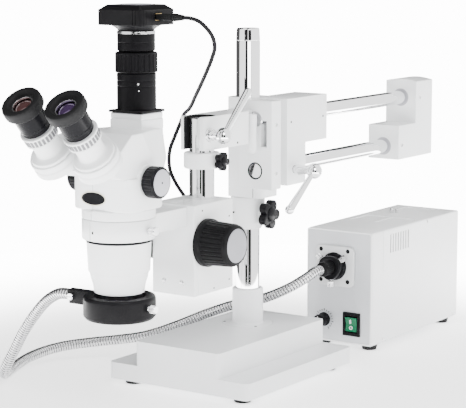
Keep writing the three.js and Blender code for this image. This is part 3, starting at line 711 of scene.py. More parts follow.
def post_and_socket():
    """The flanged socket, the chromed main post and its cap."""
    outside = [(34.5, 57.4), (34.5, 63.3), (22.4, 63.7), (21, 66.5), (21, 110.4), (19.6, 112)]
    show(
        "post_socket_casting", ring("z", (0, 0), outside, POST_BORE, 0.6, sides=96), enamel, "stand",
        ["post_socket"],
    )
    show(
        "post_tube", turned("z", (0, 0), [(16, 60.4), (16, 445.6), (15.4, 446.5)], sides=128), chrome,
        "stand", ["main_post"],
    )
    taper = [(14.6, 446.2), (15.9, 447), (15.8, 450), (15.2, 461.6), (14, 463)]
    show("post_end_cap", turned("z", (0, 0), taper, 0.5, sides=128), chrome, "stand", ["post_cap"])


def collar():
    """The safety collar under the carriage."""
    outside = [(18.4, 194), (23, 202.5), (23, 236.4), (22.2, 237.4)]
    boss = rounded(cylinder("x", 14, 26.5, 8, COLLAR_KNOB), 0.8)
    whole = combined(
        turned("z", (0, 0), outside, 0.9), [boss], [cylinder("z", 190, 240, POST_BORE, (0, 0), 64)],
    )
    show("safety_collar_casting", whole, casting, "collar", ["safety_collar"])
    # Painted shade: a dark disc for the collar's screw socket.
    dot = cylinder("y", -23.3, -20, 1.3, (-8, 217), 20)
    show("collar_set_screw", dot, recess_shade, "collar", ["safety_collar"])
    star_knob("collar_star_knob", "collar_knob", "collar_knob", COLLAR_KNOB, 27, 41, 20)


def star_knob(name, body, node, middle, inner, outer, radius, where=STAND):
    """A five-lobed knob on a steel screw along X."""
    lobes = []
    for step in range(100):
        turn = step / 100 * math.tau
        r = radius * (0.60 + 0.40 * abs(math.cos(2.5 * turn + 0.3)) ** 0.75)
        lobes.append((middle[0] + r * math.cos(turn), middle[1] + r * math.sin(turn)))
    star = rounded(prism("x", inner + 2, outer - 2, lobes), 1.4, 3, 50)
    hub = turned(
        "x", middle,
        [
            (radius * 0.42, inner), (radius * 0.5, inner + 3), (radius * 0.5, outer - 1),
            (radius * 0.4, outer),
        ],
        0.6,
    )
    show(name, combined(star, [hub]), gloss_black, body, [node], where)
    screw = turned("x", middle, [(3.4, 17.5), (4, 18.4), (4, inner + 2)], sides=32)
    show(f"{name}_screw", screw, nickel, body, [node], where)


# ---------------------------------------------------------------- carriage and boom
def bores(low, high, radius):
    return [cylinder("y", low, high, radius, (ROD["x"], ROD[level])) for level in ("upper", "lower")]


def carriage():
    """The casting that carries the boom rods on the main post."""
    lower = block(BLOCK_X, (-8, 38), (257, 312))
    upper = block(BLOCK_X, (-8, 92), (311, 372))
    clamp = prism("z", 238, 371.9, rectangle((-21, 34), (-21, 24), 8))
    whole = rounded(combined(lower, [upper, clamp]), 1.6, 3)
    slit = block((21, 22.6), (-22, -8.5), (237, 265))
    post_bore = cylinder("z", 230, 380, 16.4, (0, 0), 64)
    stud = cylinder("x", 55, 70, 5.3, CARRIAGE_STUD)
    whole = combined(whole, cut=[slit, post_bore, *bores(-30, 100, ROD["bore"]), stud])
    show("carriage_casting", whole, casting, "carriage", ["carriage"], angle=60)
    set_screws(
        "carriage_set_screws", "carriage", "carriage",
        [("x", 67.5, (2.1, 340.9)), ("x", 67.5, (82.3, 342.5))],
    )
    # Painted shade: near-black rings round the rods where they leave the carriage's bores.
    bore_mouth_rings = [ring("y", (ROD["x"], ROD[level]), [(12.4, face - 0.6), (12.4, face + 0.15)], 10.2)
             for level, face in (("upper", 92), ("lower", 38))]
    show("rod_bore_mouth_shade", gathered(*bore_mouth_rings), recess_shade, "carriage", ["carriage"])
    lever("carriage_clamp_lever", "carriage_lever", CARRIAGE_STUD, 56.5, 67.5, 98, (102, -55, 234), True)


def lever(name, node, middle, inner, face, hub_x, tip, ball_end):
    """A clamping lever: stud, ball hub and a handle that swells towards its end."""
    hub = (hub_x, *middle)
    neck = [
        (4.9, inner), (4.9, face + 4.5), (7, face + 5), (7, face + 8), (5.2, hub_x - 12), (5.6, hub_x - 4),
    ]
    stud = turned("x", middle, neck, 0.5)
    along = (Vector(tip) - Vector(hub)).normalized()
    root = Vector(hub) + along * 8
    pieces = [ball(hub, 10.4, 56), rod_between(root, tip, 3.4, 5.2)]
    pieces.append(ball(tip, 6.1 if ball_end else 5.25))
    flat = cylinder("x", hub_x + 9.2, hub_x + 10.5, 4, middle, 32)
    show(name, combined(stud, pieces, [flat]), chrome, node, [node])


def boom():
    """The two rods and the block at their front end."""
    for level in ("upper", "lower"):
        bar = turned("y", (ROD["x"], ROD[level]), [(9.2, -44), (10, -43.2), (10, 390)], sides=96)
        show(f"{level}_boom_rod", bar, chrome, "boom", [f"{level}_rod"])
    front = rounded(block(BLOCK_X, (-45, -22), (255, 372)), 1.4)
    pocket = block((50, 59.5), (-50, -31), (311, 345.5))
    front = combined(front, cut=[pocket, *bores(-50, -10, 10.3)])
    show("front_block_casting", front, casting, "boom", ["front_end_block"], angle=60)
    # Painted shade: a near-black ring over the bore mouth round the recessed rod end.
    end_bore_shade = ring("y", (ROD["x"], ROD["lower"]), [(11.4, -44.9), (11.4, -45.2)], 9.4)
    show("rod_end_bore_shade", end_bore_shade, recess_shade, "boom", ["front_end_block"])
    # Painted shade: a dark grey sheet on the back wall of the front block's pocket.
    shade_lining = block((50.1, 59.4), (-31.6, -31.05), (311.2, 345.3))
    show("pocket_shade_lining", shade_lining, rib_grey, "boom", ["front_end_block"])
    heads = [screw_head("x", 67.5, (-34, z), 2.6) for z in (340, 276)]
    heads.append(screw_head("y", -31.6, (55.8, 338), 2.4, -1.0))
    show("front_block_screws", gathered(*heads), nickel, "boom", ["front_end_block"])
    rear_block()
    drop_arm()


def rear_block():
    """The block that ties the rods together at the back."""
    crown = [(67.5 - 51 * t, 371.5 + 3.4 * math.sin(math.pi * t)) for t in [i / 16 for i in range(17)]]
    upper = prism("y", 346, 397, [(16.5, 309), (67.5, 309), *crown])
    lower = block(BLOCK_X, (295, 397), (260, 310))
    whole = rounded(combined(upper, [lower]), 2.2, 4)
    whole = combined(whole, cut=bores(280, 385, ROD["bore"]))
    show("rear_block_casting", whole, casting, "boom", ["rear_end_block"], angle=60)
    bore_mouth_rings = [ring("y", (ROD["x"], ROD[level]), [(13, face - 0.2), (13, face + 1.2)], 10.1)
             for level, face in (("upper", 346), ("lower", 295))]
    show("rear_bore_rings", gathered(*bore_mouth_rings), cap_grey, "boom", ["rear_end_block"])
    heads = [screw_head("x", 67.5, at, 2.6) for at in ((358, 346.5), (305, 280.7))]
    show("rear_block_screws", gathered(*heads), nickel, "boom", ["rear_end_block"])


def drop_arm():
    """The arm that holds the drop post, with its bore and slot."""
    whole = prism("z", 317, 359.5, rectangle((7, 45), (-165, -63), 4))
    neck = block((7, 37), (-68, -45.3), (317, 359.4))
    whole = rounded(combined(whole, [neck]), 1.3)
    rib = turned("z", (43, -54), [(2, 303), (5, 304), (6, 307), (6, 354.5)], 0.6)
    web = block((36, 43), (-57, -50), (319, 351))
    bore = cylinder("z", 290, 380, 17.6, DROP_AXIS, 64)
    slot = block((12.5, 37.5), (-170, -144), (300, 380))
    stud = cylinder("x", 42, 50, 5.3, ARM_STUD)
    whole = combined(whole, [rib, web], [bore, slot, stud])
    show("drop_arm_casting", whole, casting, "boom", ["drop_arm"], angle=60)
    # Painted shade: a black lining in the bore and black sheets on the slot's sides, for the dark gap round
    # the drop post.
    shade_lining = ring("z", DROP_AXIS, [(18.2, 317.4), (18.2, 359.1)], 16.4, sides=64)
    mouth = block((12.5, 37.5), (-170, -156), (300, 380))
    slot_shade_cheeks = [block((x, x + 0.5), (-164, -152), (317.6, 359)) for x in (12.3, 37.1)]
    show(
        "arm_bore_shade_lining", gathered(combined(shade_lining, cut=[mouth]), *slot_shade_cheeks), gloss_black, "boom",
        ["drop_arm"],
    )
    show(
        "arm_boss", ring("x", ARM_STUD, [(9, 44.8), (9, 46.2), (8.2, 47)], 5.4, 0.3), nickel, "boom",
        ["drop_arm"],
    )
    set_screws("arm_set_screw", "boom", "drop_arm", [("x", 45, (-91, 321))])
    lever("arm_clamp_lever", "arm_lever", ARM_STUD, 43.5, 45, 66, (70, -105, 388.5), False)


# ---------------------------------------------------------------- drop post and focus mount
def focus_mount():
    """The focus housing on the drop post."""
    post = turned("z", (0, 0), [(15.2, 170), (16, 170.8), (16, 356.2), (15.2, 357)], sides=128)
    show("drop_post_bar", post, chrome, "drop_post", ["drop_post"], FOCUS)
    band = combined(turned("z", (0, 0), [(22, 293), (23, 294.5), (23, 311.5), (22, 313)], 0.7), [],
                    [cylinder("z", 290, 320, 16.1, (0, 0), 64)])
    show("drop_stop_collar", band, casting, "drop_post", ["drop_collar"], FOCUS)
    star_knob("drop_star_knob", "drop_collar_knob", "drop_collar_knob", (0, 303), 25, 37, 12, FOCUS)
    body = rounded(prism("z", 139, 254, rectangle((-32.5, 32.5), (-54, 24), 3.5)), 1.5)
    bore = cylinder("z", 165, 260, POST_BORE, (0, 0), 64)
    slide = block((-8, 8), (-55, -30), (135, 260))
    axle = cylinder("x", -40, 40, 4.6, FOCUS_AXLE)
    show(
        "focus_housing_casting", combined(body, cut=[bore, slide, axle]), casting, "focus_mount",
        ["focus_housing"], FOCUS, 60,
    )
    dots = [("x", 32.5, (-45, 246)), ("x", 32.5, (-20, 144)), ("x", 32.5, (14, 232)), ("x", 32.5, (14, 150))]
    set_screws("housing_set_screws", "focus_mount", "focus_housing", dots, FOCUS, 1.2)
    focus_knobs()
    rack_plate()


def focus_knobs():
    """Both knobs on the one pinion shaft."""
    middle = FOCUS_AXLE
    for side, word in ((1, "right"), (-1, "left")):
        grip = [(30.4, 33.2), (30.4, 39), (28.8, 41.5), (28, 46), (26.8, 74), (25.6, 77.5), (23.2, 79.2)]
        knob = turned("x", middle, grip, 0.8, sides=240, ribs=(30, 1.0, 43, 73))
        cap = [(21.4, 78.4), (21.4, 79.3), (20.4, 79.5), (12, 79.5)]
        dome = turned("x", middle, cap, 0.2, sides=96)
        if side < 0:
            mirrored(knob, dome)
        show(f"{word}_focus_knob", knob, black_plastic, "focus_knobs", ["focus_knobs"], FOCUS)
        show(f"{word}_focus_knob_cap", dome, focus_grey, "focus_knobs", ["focus_knobs"], FOCUS)
    shaft = turned(
        "x", middle, [(3.9, -34), (3.9, -6.6), (6, -6.5), (6, 6.5), (3.9, 6.6), (3.9, 34)],
        ribs=(16, 0.8, -6.4, 6.4), sides=96,
    )
    show("focus_pinion_shaft", shaft, nickel, "focus_knobs", ["focus_knobs"], FOCUS)


def rack_plate():
    """The plate that slides up and down in the focus housing."""
    face = rounded(block((-32.5, 32.5), (-62.5, -54.3), (139, 254)), 1.2)
    rail = block((-7, 7), (-55, -43.4), (143, 250))
    show("rack_plate_casting", combined(face, [rail]), casting, "carrier", ["focus_rack_plate"], FOCUS, 60)
    heads = [screw_head("y", -62.5, (x, 155.5), 3.4, -0.5, turn) for x, turn in ((-14, 0.5), (13, 2.2))]
    show("rack_plate_screws", gathered(*heads), nickel, "carrier", ["focus_rack_plate"], FOCUS)
    set_screws(
        "rack_plate_holes", "carrier", "focus_rack_plate",
        [("y", -62.5, (15, 234)), ("y", -62.5, (-15, 234))], FOCUS, 1.3,
    )


# ---------------------------------------------------------------- head
def head_holder():
    """The ring that holds the head, with its thumbscrew."""
    band = turned("z", (0, 0), [(43.4, 225.3), (44.3, 226.3), (44.3, 249), (43.4, 250)], sides=96)
    bracket = rounded(block((-22, 22), (38, 109.2), (225.5, 249.8)), 1.4)
    bore = cylinder("z", 220, 260, 40, (0, 0), 96)
    seam = block((-9.9, -8.9), (-46, -39), (220, 260))
    threads = cylinder("x", 38, 46, 3.3, (0, 237))
    whole = combined(band, [bracket], [bore, seam, threads])
    show("head_ring", whole, casting, "carrier", ["head_holder"], HEAD, 50)
    set_screws("head_ring_screw", "carrier", "head_holder", [("y", -44.0, (-4.2, 236))], HEAD, 1.9)
    grip = [(3, 40.5), (3, 44.8), (4.6, 45.2), (4.6, 47), (5.5, 47.4), (5.5, 55), (4.6, 56)]
    screw = turned("x", (0, 237), grip, 0.3, sides=96, ribs=(24, 0.35, 48, 54.5))
    show("head_ring_thumbscrew", screw, nickel, "holder_thumbscrew", ["holder_thumbscrew"], HEAD)


def zoom_body():
    """The lower casting of the head, its objective and the zoom knobs."""
    nose = [
        (28.6, 159), (30.4, 159.6), (30.8, 164), (32, 170.5), (34.4, 178), (35.6, 184.4), (37.3, 185.6),
        (39, 222.6), (39, 224.4), (38.2, 225), (38.2, 250.6), (43.4, 250.6), (44.3, 251.4), (44.3, 261.2),
        (42, 262.4),
    ]
    lower = turned("z", (0, 0), nose, 0.7, sides=128)
    shell = rounded(prism("z", 262, 302, rectangle((-46, 46), (-40, 40), 26)), 2.2, 4)
    seam = block((-7.4, -6.5), (-50, -39.0), (250, 305))
    seat = cylinder("z", 150, 166, 26, (0, 0), 64)
    step = block((-50, 50), (-50, 50), (290.6, 291.0))
    rim = cut_ring(step)
    whole = combined(lower, [shell], [seam, seat, cylinder("x", -60, 60, 4.5, ZOOM_AXLE), rim])
    show("zoom_body_casting", whole, casting, "head", ["zoom_body"], HEAD, 50)
    # Painted shade: a black band in the gap between the nose and the holder ring.
    gap_shade = ring("z", (0, 0), [(39.6, 221.6), (39.6, 224.6)], 37.6)
    show("nose_gap_shade_ring", gap_shade, gloss_black, "head", ["zoom_body"], HEAD)
    badge()
    lens = turned("z", (0, 0), [(25.4, 165.4), (25.4, 160.6), (20, 160.4), (8, 159.6)][::-1], 0.3)
    show("objective_front_lens", lens, violet_glass, "head", ["objective_lens"], HEAD)
    for side, word in ((1, "right"), (-1, "left")):
        boss = turned("x", ZOOM_AXLE, [(22, 38), (20.5, 45.4), (11, 46.3)], 0.6)
        profile = [(10, 46.8), (17.6, 47.4), (19, 49), (19, 63), (17.8, 64.3), (14, 64.4)]
        knob = turned("x", ZOOM_AXLE, profile, 0.4, sides=192, ribs=(24, 0.7, 50, 62))
        cap = turned("x", ZOOM_AXLE, [(15.8, 63.9), (15.8, 64.8), (14.8, 65), (2, 65)], sides=64)
        dot = cylinder("x", 64.6, 65.25, 1.2, ZOOM_AXLE, 20)
        if side < 0:
            mirrored(boss, knob, cap, dot)
        show(f"{word}_zoom_boss", boss, casting, "head", ["zoom_body"], HEAD)
        show(f"{word}_zoom_knob", knob, gloss_black, "zoom_knobs", ["zoom_knobs"], HEAD)
        show(f"{word}_zoom_knob_cap", cap, cap_grey, "zoom_knobs", ["zoom_knobs"], HEAD)
        show(f"{word}_zoom_knob_dot", dot, recess_shade, "zoom_knobs", ["zoom_knobs"], HEAD)


def cut_ring(slab):
    """A thin slab without the zoom body's outline: it scores a fine line round the casting."""
    return combined(slab, cut=[prism("z", 280, 300, rectangle((-45.6, 45.6), (-39.6, 39.6), 25.6))])


def shell_front(x):
    """How far forward the zoom body's rounded front lies at this X."""
    bend = 1 - math.sqrt(min(1.0, (46 - abs(x)) / 26))
    return -40 + 26 * bend ** 2


def badge():
    """A plain oval badge with a pale rim, wrapped on the front of the zoom body."""
    for name, half_x, half_z, proud, paint in (
        ("badge_rim", 19.0, 9.0, 0.6, gold_rim), ("badge_face", 17.4, 7.5, 0.9, gloss_black),
    ):
        points, faces, rows, around = [], [], 6, 64
        for layer in (proud, -0.6):
            for row in range(rows + 1):
                for i in range(around):
                    turn = i / around * math.tau
                    x = -6 + half_x * math.cos(turn) * row / rows
                    z = 276.5 + half_z * math.sin(turn) * row / rows
                    points.append((x, shell_front(x) - layer, z))
        for base in (0, (rows + 1) * around):
            for row in range(rows):
                a = base + row * around
                faces += [
                    (a + i, a + (i + 1) % around, a + around + (i + 1) % around, a + around + i)
                    for i in range(around)
                ]
        edge, other = rows * around, (2 * rows + 1) * around
        faces += [
            (edge + i, edge + (i + 1) % around, other + (i + 1) % around, other + i) for i in range(around)
        ]
        plate = mesh_object(name, points, faces)
        shape = bmesh.new()
        shape.from_mesh(plate.data)
        bmesh.ops.remove_doubles(shape, verts=shape.verts, dist=0.00001)
        bmesh.ops.recalc_face_normals(shape, faces=shape.faces)
        shape.to_mesh(plate.data)
        shape.free()
        show(name, plate, paint, "head", ["zoom_body"], HEAD, 50)


LEAN = math.radians(40)


def slope(distance, lift):
    """A point on the casting's front slope, from where the eyepiece tubes' axes meet it."""
    across, up = math.cos(LEAN), math.sin(LEAN)
    return (-87 + distance * across - lift * up, 337 + distance * up + lift * across)


def trinocular():
    """The upper casting, with the slope that the eyepieces turn on."""
    side = [(-48, 302.4), (38, 302.4), (57, 317), (59, 354), (-2, 354.5), slope(56, -25), slope(-8, -25)]
    body = prism("x", -43, 43, side)
    wedges = []
    for out in (-1, 1):
        corner = prism(
            "z", 296, 380,
            [(out * 43.6, -22), (out * 60, -22), (out * 60, 80), (out * 23.5, 80), (out * 23.5, 44)],
        )
        corner.data.transform(leant_back(372, 0.62))
        wedges.append(corner)
    whole = cast(combined(body, cut=wedges), 1.1, 5)
    show("trinocular_casting", whole, casting, "head", ["trinocular_block"], HEAD, 180)
    lower = rounded(block((-24, 24), (15, 59), (352, 365.6)), 1.6)
    upper = rounded(block((-23.4, 23.4), (15.6, 58.4), (366.2, 372.9)), 1.2)
    neck = block((-22.8, 22.8), (16.2, 57.8), (365, 367))
    show(
        "photo_port_casting", combined(lower, [neck, upper]), casting, "head", ["trinocular_block"], HEAD,
        50,
    )


def leant_back(height, slant):
    """Moves each level of a solid towards the back, by this much per millimetre below a height."""
    shear = Matrix.Identity(4)
    shear[1][2], shear[1][3] = -slant, slant * height * MM
    return shear


def photo_port():
    """The tube above the casting and the ring that focuses the camera."""
    plate = rounded(block((-25, 25), (14, 60), (373.3, 376.4)), 0.5, 2)
    show("photo_port_plate", plate, anodised, "head", ["photo_tube"], HEAD)
    middle = PORT
    outside = [
        (23.4, 376.2), (23.6, 377), (23.6, 404), (22.9, 404.6), (23.6, 405.2), (23.6, 410.6),
        (22.9, 411.2), (23.6, 411.8), (23.6, 419.6), (17, 420.2), (17, 446), (21.4, 446.2), (22.8, 447.4),
        (22.8, 456), (22.2, 456.6), (22.8, 457.2), (22.8, 466.6), (21.4, 467), (21.4, 470.4),
    ]
    show(
        "photo_tube_barrel", turned("z", middle, outside, 0.3, sides=96), anodised, "head", ["photo_tube"],
        HEAD,
    )
    bright = ring("z", middle, [(22.9, 467.1), (23, 467.6), (23, 470), (22.7, 470.4)], 21)
    show("photo_tube_bright_ring", bright, nickel, "head", ["photo_tube"], HEAD)
    grip = ring(
        "z", middle, [(24.2, 420.7), (25.4, 421.6), (25.4, 444), (24.2, 445.2)], 17.5, 0.5, sides=240,
        ribs=(22, 1.1, 423, 442.5),
    )
    show("photo_focus_grip", grip, anodised, "photo_focus_ring", ["photo_focus_ring"], HEAD)
    marks = []
    for turn, height, radius in ((-48, 408, 1.3), (-46, 400, 0.9)):
        angle = math.radians(turn)
        at = (23.5 * math.cos(angle), 37 + 23.5 * math.sin(angle), height)
        marks.append(ball(at, radius, 20))
    show("focus_index_dots", gathered(*marks), print_white, "head", ["photo_tube"], HEAD)


def camera_body():
    """The camera on the photo tube."""
    middle = PORT
    shell = rounded(prism("z", 477.4, 496.4, rectangle((-33.5, 33.5), (3.5, 70.5), 6)), 1.0)
    flare = turned(
        "z", middle, [(21.8, 471), (22.6, 472.2), (25, 474.2), (29, 476.4), (32.4, 478.4)], 0.4, sides=96,
    )
    crown = prism("z", 0, 5.6, rectangle((-33, 33), (-33, 33), 6))
    for vertex in crown.data.vertices:
        if vertex.co.z > 0:
            vertex.co.x *= 0.78
            vertex.co.y *= 0.78
    crown.data.transform(Matrix.Translation((0, 37 * MM, 496 * MM)))
    well = block((29, 40), (30, 44), (482.6, 492.4))
    lines = [block((x, x + 1.2), (2, 4.1), (478, 496)) for x in (20, 24)]
    lines += [block((32.9, 34), (y, y + 1.2), (478, 496)) for y in (8, 12)]
    whole = combined(shell, [flare, rounded(crown, 1.0, 3)], [well, *lines])
    show("camera_housing", whole, anodised, "head", ["camera"], HEAD, 50)
    disc = turned("z", middle, [(21, 501.4), (21, 501.9), (19, 502.2), (6, 502.5)], 0.2, sides=96)
    show("camera_top_disc", disc, cap_grey, "head", ["camera"], HEAD)
    contact = block((31, 33.7), (31, 43), (483.4, 491.6))
    hole = block((30, 35), (32, 42), (484.4, 490.6))
    show("camera_usb_shell", combined(contact, cut=[hole]), gold, "head", ["camera"], HEAD)


def camera_plug():
    """The plug in the camera's side, with its strain relief."""
    plug = rounded(block((31.5, 55), (31, 43), (483.8, 491.2)), 1.2)
    shell_front_plug = rounded(block((30.7, 34), (32.2, 41.8), (484.6, 490.4)), 0.3, 1)
    relief = turned("x", USB_AXIS, [(5, 54), (4.4, 56), (3.1, 70)], sides=64)
    rings = [
        ring(
            "x", USB_AXIS, [(4.9 - i * 0.33, 57 + i * 2.5), (4.8 - i * 0.33, 58.4 + i * 2.5)], 1.5,
            sides=32,
        )
        for i in range(5)
    ]
    show(
        "camera_usb_plug", combined(plug, [relief, shell_front_plug, *rings]), black_plastic, "head",
        ["camera_plug"], HEAD,
    )


DIOPTRE_RIBS = 26


def ocular(side, word, glass):
    """One eyepiece assembly, in its own frame: Z runs up the tube."""
    where = HEAD @ Matrix.Translation((side * 31.7 * MM, -87 * MM, 337 * MM)) @ Matrix.Rotation(LEAN, 4, "X")
    body = f"{word}_ocular"
    outer = hull_of_circles([(0, 0, 28), (-side * 17.7, 27, 13.6)], side * -31.2)
    inner = hull_of_circles([(0, 0, 25.4), (-side * 17.7, 27, 11.4)], side * -29.4)
    middle = hull_of_circles([(0, 0, 26.8), (-side * 17.7, 27, 12.6)], side * -30.4)
    lower = rounded(prism("z", -23.8, -12.6, outer), 3.0, 5, 25)
    waist = prism("z", -13.4, -10.8, middle)
    upper = rounded(prism("z", -11.8, -4.2, outer), 1.6, 4, 25)
    lid = rounded(prism("z", -5, -0.4, inner), 1.4, 4, 25)
    tube_profile = [(20.4, -0.6), (17.2, 1.6), (16.5, 4), (16.5, 19.4), (14.6, 20), (14.4, 36)]
    barrel = turned("z", (0, 0), tube_profile, 0.5, sides=96)
    show(
        f"{word}_prism_casting", combined(lower, [waist, upper, lid, barrel]), casting, body,
        [f"{word}_prism_housing"], where, 50,
    )
    grip_profile = [
        (18.4, 20.5), (20.6, 21.4), (20.6, 23.6), (19.9, 24.2), (19.9, 32.6), (21.4, 33.4), (21.4, 35),
        (20.4, 35.6),
    ]
    grip = ring("z", (0, 0), grip_profile, 15, 0.3, sides=96)
    show(f"{word}_dioptre_casting", grip, casting, f"{word}_dioptre", [f"{word}_dioptre_ring"], where)
    ribs = []
    for i in range(DIOPTRE_RIBS):
        turn = i / DIOPTRE_RIBS * math.tau
        rib = block((19.4, 20.6), (-1.5, 1.5), (24.6, 32.2))
        rib.data.transform(Matrix.Rotation(turn, 4, "Z"))
        ribs.append(rib)
    show(
        f"{word}_dioptre_ribs", gathered(*ribs), rib_grey, f"{word}_dioptre", [f"{word}_dioptre_ring"],
        where,
    )
    barrel = [
        (17.6, 36.5), (17.6, 40), (18.4, 41), (18.4, 44), (18, 44.6), (18.4, 45.2), (18.4, 62), (19.6, 65),
    ]
    well = turned("z", (0, 0), [(13.2, 62), (13.2, 73)], sides=64)
    barrel = combined(turned("z", (0, 0), barrel, 0.4, sides=96), cut=[well])
    show(f"{word}_eyepiece_barrel", barrel, gloss_black, body, [f"{word}_eyepiece"], where)
    cup = [
        (18.6, 62.8), (21.6, 63.6), (24.3, 67), (24.5, 69.6), (24.5, 75.6), (23.4, 78.9), (20, 79.5),
        (16.4, 78.8), (14.6, 76), (13.4, 72), (13.4, 63),
    ]
    show(
        f"{word}_rubber_eyecup", turned("z", (0, 0), cup, 0.9, sides=96, hollow=True), rubber, body,
        [f"{word}_eyepiece"], where,
    )
    collar_ring = ring("z", (0, 0), [(13.7, 71.4), (13.7, 73.4), (12.9, 73.8)], 11.9, 0.1)
    show(f"{word}_lens_retainer", collar_ring, nickel, body, [f"{word}_eyepiece"], where)
    tilts = [math.pi / 2 * (1 - i / 10) for i in range(10)]
    dome = [(12.2 * math.sin(t), 68.2 + 4.4 * math.cos(t)) for t in tilts]
    lens = turned("z", (0, 0), [(12.2, 66.5), *dome, (0.4, 72.6)], sides=64)
    show(f"{word}_lens", lens, glass, body, [f"{word}_eye_lens"], where)


def hull_of_circles(circles, wall):
    """The outline round a group of (x, y, radius) circles, cut off straight at X = wall on its inner side."""
    points = []
    for x, y, radius in circles:
        points += [
            (x + radius * math.cos(i / 72 * math.tau), y + radius * math.sin(i / 72 * math.tau))
            for i in range(72)
        ]
    points = [(max(wall, x), y) if wall < 0 else (min(wall, x), y) for x, y in points]
    points = sorted(set((round(x, 4), round(y, 4)) for x, y in points))

    def chain(ordered):
        made = []
        for p in ordered:
            while len(made) > 1 and turn_of(made[-2], made[-1], p) <= 1e-6:
                made.pop()
            made.append(p)
        return made[:-1]

    return chain(points) + chain(points[::-1])


def turn_of(a, b, c):
    return (b[0] - a[0]) * (c[1] - a[1]) - (b[1] - a[1]) * (c[0] - a[0])


def ring_light():
    """The ring light round the objective and its screws."""
    outside = [(37, 126), (40.6, 127), (44, 131), (44, 151.6), (42.6, 155), (36, 155)]
    body = ring("z", (0, 0), outside, RING_LIGHT_BORE, 0.9, sides=128)
    neck = turned("x", (16, 143), [(8.0, -88), (8.8, -86.6), (8.8, -42)], 0.4)
    flat = block((-84, -44), (6, 12.4), (134, 152))
    bore = cylinder("z", 120, 160, RING_LIGHT_BORE, (0, 0), 96)
    show(
        "ring_light_housing", combined(body, [neck, rounded(flat, 1.0)], [bore]), anodised, "head",
        ["ring_light"], HEAD, 50,
    )
    glow = ring("z", (0, 0), [(35.6, 126.2), (35.6, 127.4)], 32.4)
    show("ring_light_window", glow, pale_plastic, "head", ["ring_light"], HEAD)
    lock = turned("y", (-80, 143), [(3.9, 2.2), (4.6, 3), (4.6, 7)], 0.3)
    slot = block((-84, -76), (1, 3.6), (142.5, 143.5))
    show("guide_neck_screw", combined(lock, cut=[slot]), nickel, "head", ["ring_light"], HEAD)
    grip = [(3, 32.8), (3, 44.6), (2.6, 45), (2.6, 47), (5, 47.6), (5, 54), (4.2, 55)]
    screw = turned("x", (0, 143), grip, 0.3, sides=96, ribs=(24, 0.35, 48.2, 53.6))
    show("ring_light_screw", screw, nickel, "ring_light_thumbscrew", ["ring_light_thumbscrew"], HEAD)


# ---------------------------------------------------------------- illuminator
def lamp_case():
    """The illuminator's folded cover with its vents and trays."""
    outer = rounded(block((-53.25, 53.25), (2.4, 264), (9, 171)), 2.6, 4)
    inner = block((-51.4, 51.4), (-3, 270), (0, 169))
    seams = [block((half, half + 2), (32, 33.2), (112, 175)) for half in (-54.2, 52.2)]
    seams += [block((-54.5, 54.5), (32, 33.2), (169.9, 175))]
    trays = [
        block((-40, -4), (96, 150), (169.8, 175)), block((2, 42), (96, 150), (169.8, 175)),
        block((-30, 30), (226, 252), (169.8, 175)),
    ]
    vents = [block((-60, 60), (52 + 7.4 * i, 55.4 + 7.4 * i), (136, 163)) for i in range(8)]
    whole = combined(outer, cut=[inner, *seams, *trays, *vents])
    show("lamp_cover", whole, sheet_enamel, "stand", ["illuminator_cover"], LAMP, 50)
    # Painted shade: a near-black sheet inside the cover, behind the vents, for the dark inside of the lamp.
    vent_shade_sheet = block((-51.2, 51.2), (44, 118), (130, 166.5))
    show("lamp_vent_shade_sheet", vent_shade_sheet, recess_shade, "stand", ["illuminator_chassis"], LAMP)
    heads = [screw_head("x", 53.25, at, 2.2) for at in ((33, 14.5), (251, 11.5), (163, 167))]
    heads += [screw_head("x", -53.25, at, 2.2, -0.7) for at in ((33, 14.5), (251, 11.5), (163, 167))]
    show("lamp_cover_screws", gathered(*heads), nickel, "stand", ["illuminator_cover"], LAMP)


def lamp_terminals():
    """Three short studs on the lid."""
    studs = [
        turned("z", at, [(2.6, 168.6), (2.6, 176), (1.6, 177)], 0.3, sides=24)
        for at in ((-17, 182), (-12, 188), (-22, 190))
    ]
    show("lid_studs", gathered(*studs), nickel, "stand", ["illuminator_cover"], LAMP)


def lamp_front():
    """The illuminator's front panel and its plain marks."""
    plate = rounded(prism("y", 0, 2, rectangle((-53.1, 53.1), (9.1, 170.9), 4)), 0.6, 2)
    hole = cylinder("y", -5, 10, 13, SOCKET)
    dial_hole = cylinder("y", -5, 10, 3.6, DIAL)
    well = block((9.5, 33.5), (-5, 10), (23.5, 51.5))
    show(
        "lamp_front_panel", combined(plate, cut=[hole, dial_hole, well]), panel_paint, "stand",
        ["illuminator_front_panel"], LAMP,
    )
    edge = combined(rounded(prism("y", -0.5, 2, rectangle((-53.2, 53.2), (9, 171), 4.4)), 0.3, 2), [],
                    [prism("y", -3, 5, rectangle((-51.2, 51.2), (11, 169), 3.4))])
    show("lamp_panel_rim", edge, sheet_enamel, "stand", ["illuminator_front_panel"], LAMP)
    frame_outer = rounded(block((7.5, 35.5), (-2.4, 1), (20.5, 54.5)), 0.8)
    opening = block((12, 31), (-8, 10), (26, 49))
    can = block((9.6, 33.4), (-1, 21), (23.6, 51.4))
    hollow = block((11.6, 31.4), (-8, 18), (25.6, 49.4))
    frame_piece = combined(frame_outer, [can], [opening, hollow])
    show("rocker_frame", frame_piece, black_plastic, "stand", ["illuminator_front_panel"], LAMP)
    ticks = []
    for i in range(19):
        turn = math.radians(-60 + i * 300 / 18)
        length = 3.4 if i % 3 == 0 else 2.2
        tick = block((-0.5, 0.5), (-0.3, 0.3), (12.2, 12.2 + length))
        tick.data.transform(
            Matrix.Translation((-24 * MM, 0, 40 * MM)) @ Matrix.Rotation(turn - math.radians(90), 4, "Y")
        )
        ticks.append(tick)
    show("dial_ticks", gathered(*ticks), print_black, "stand", ["illuminator_front_panel"], LAMP)


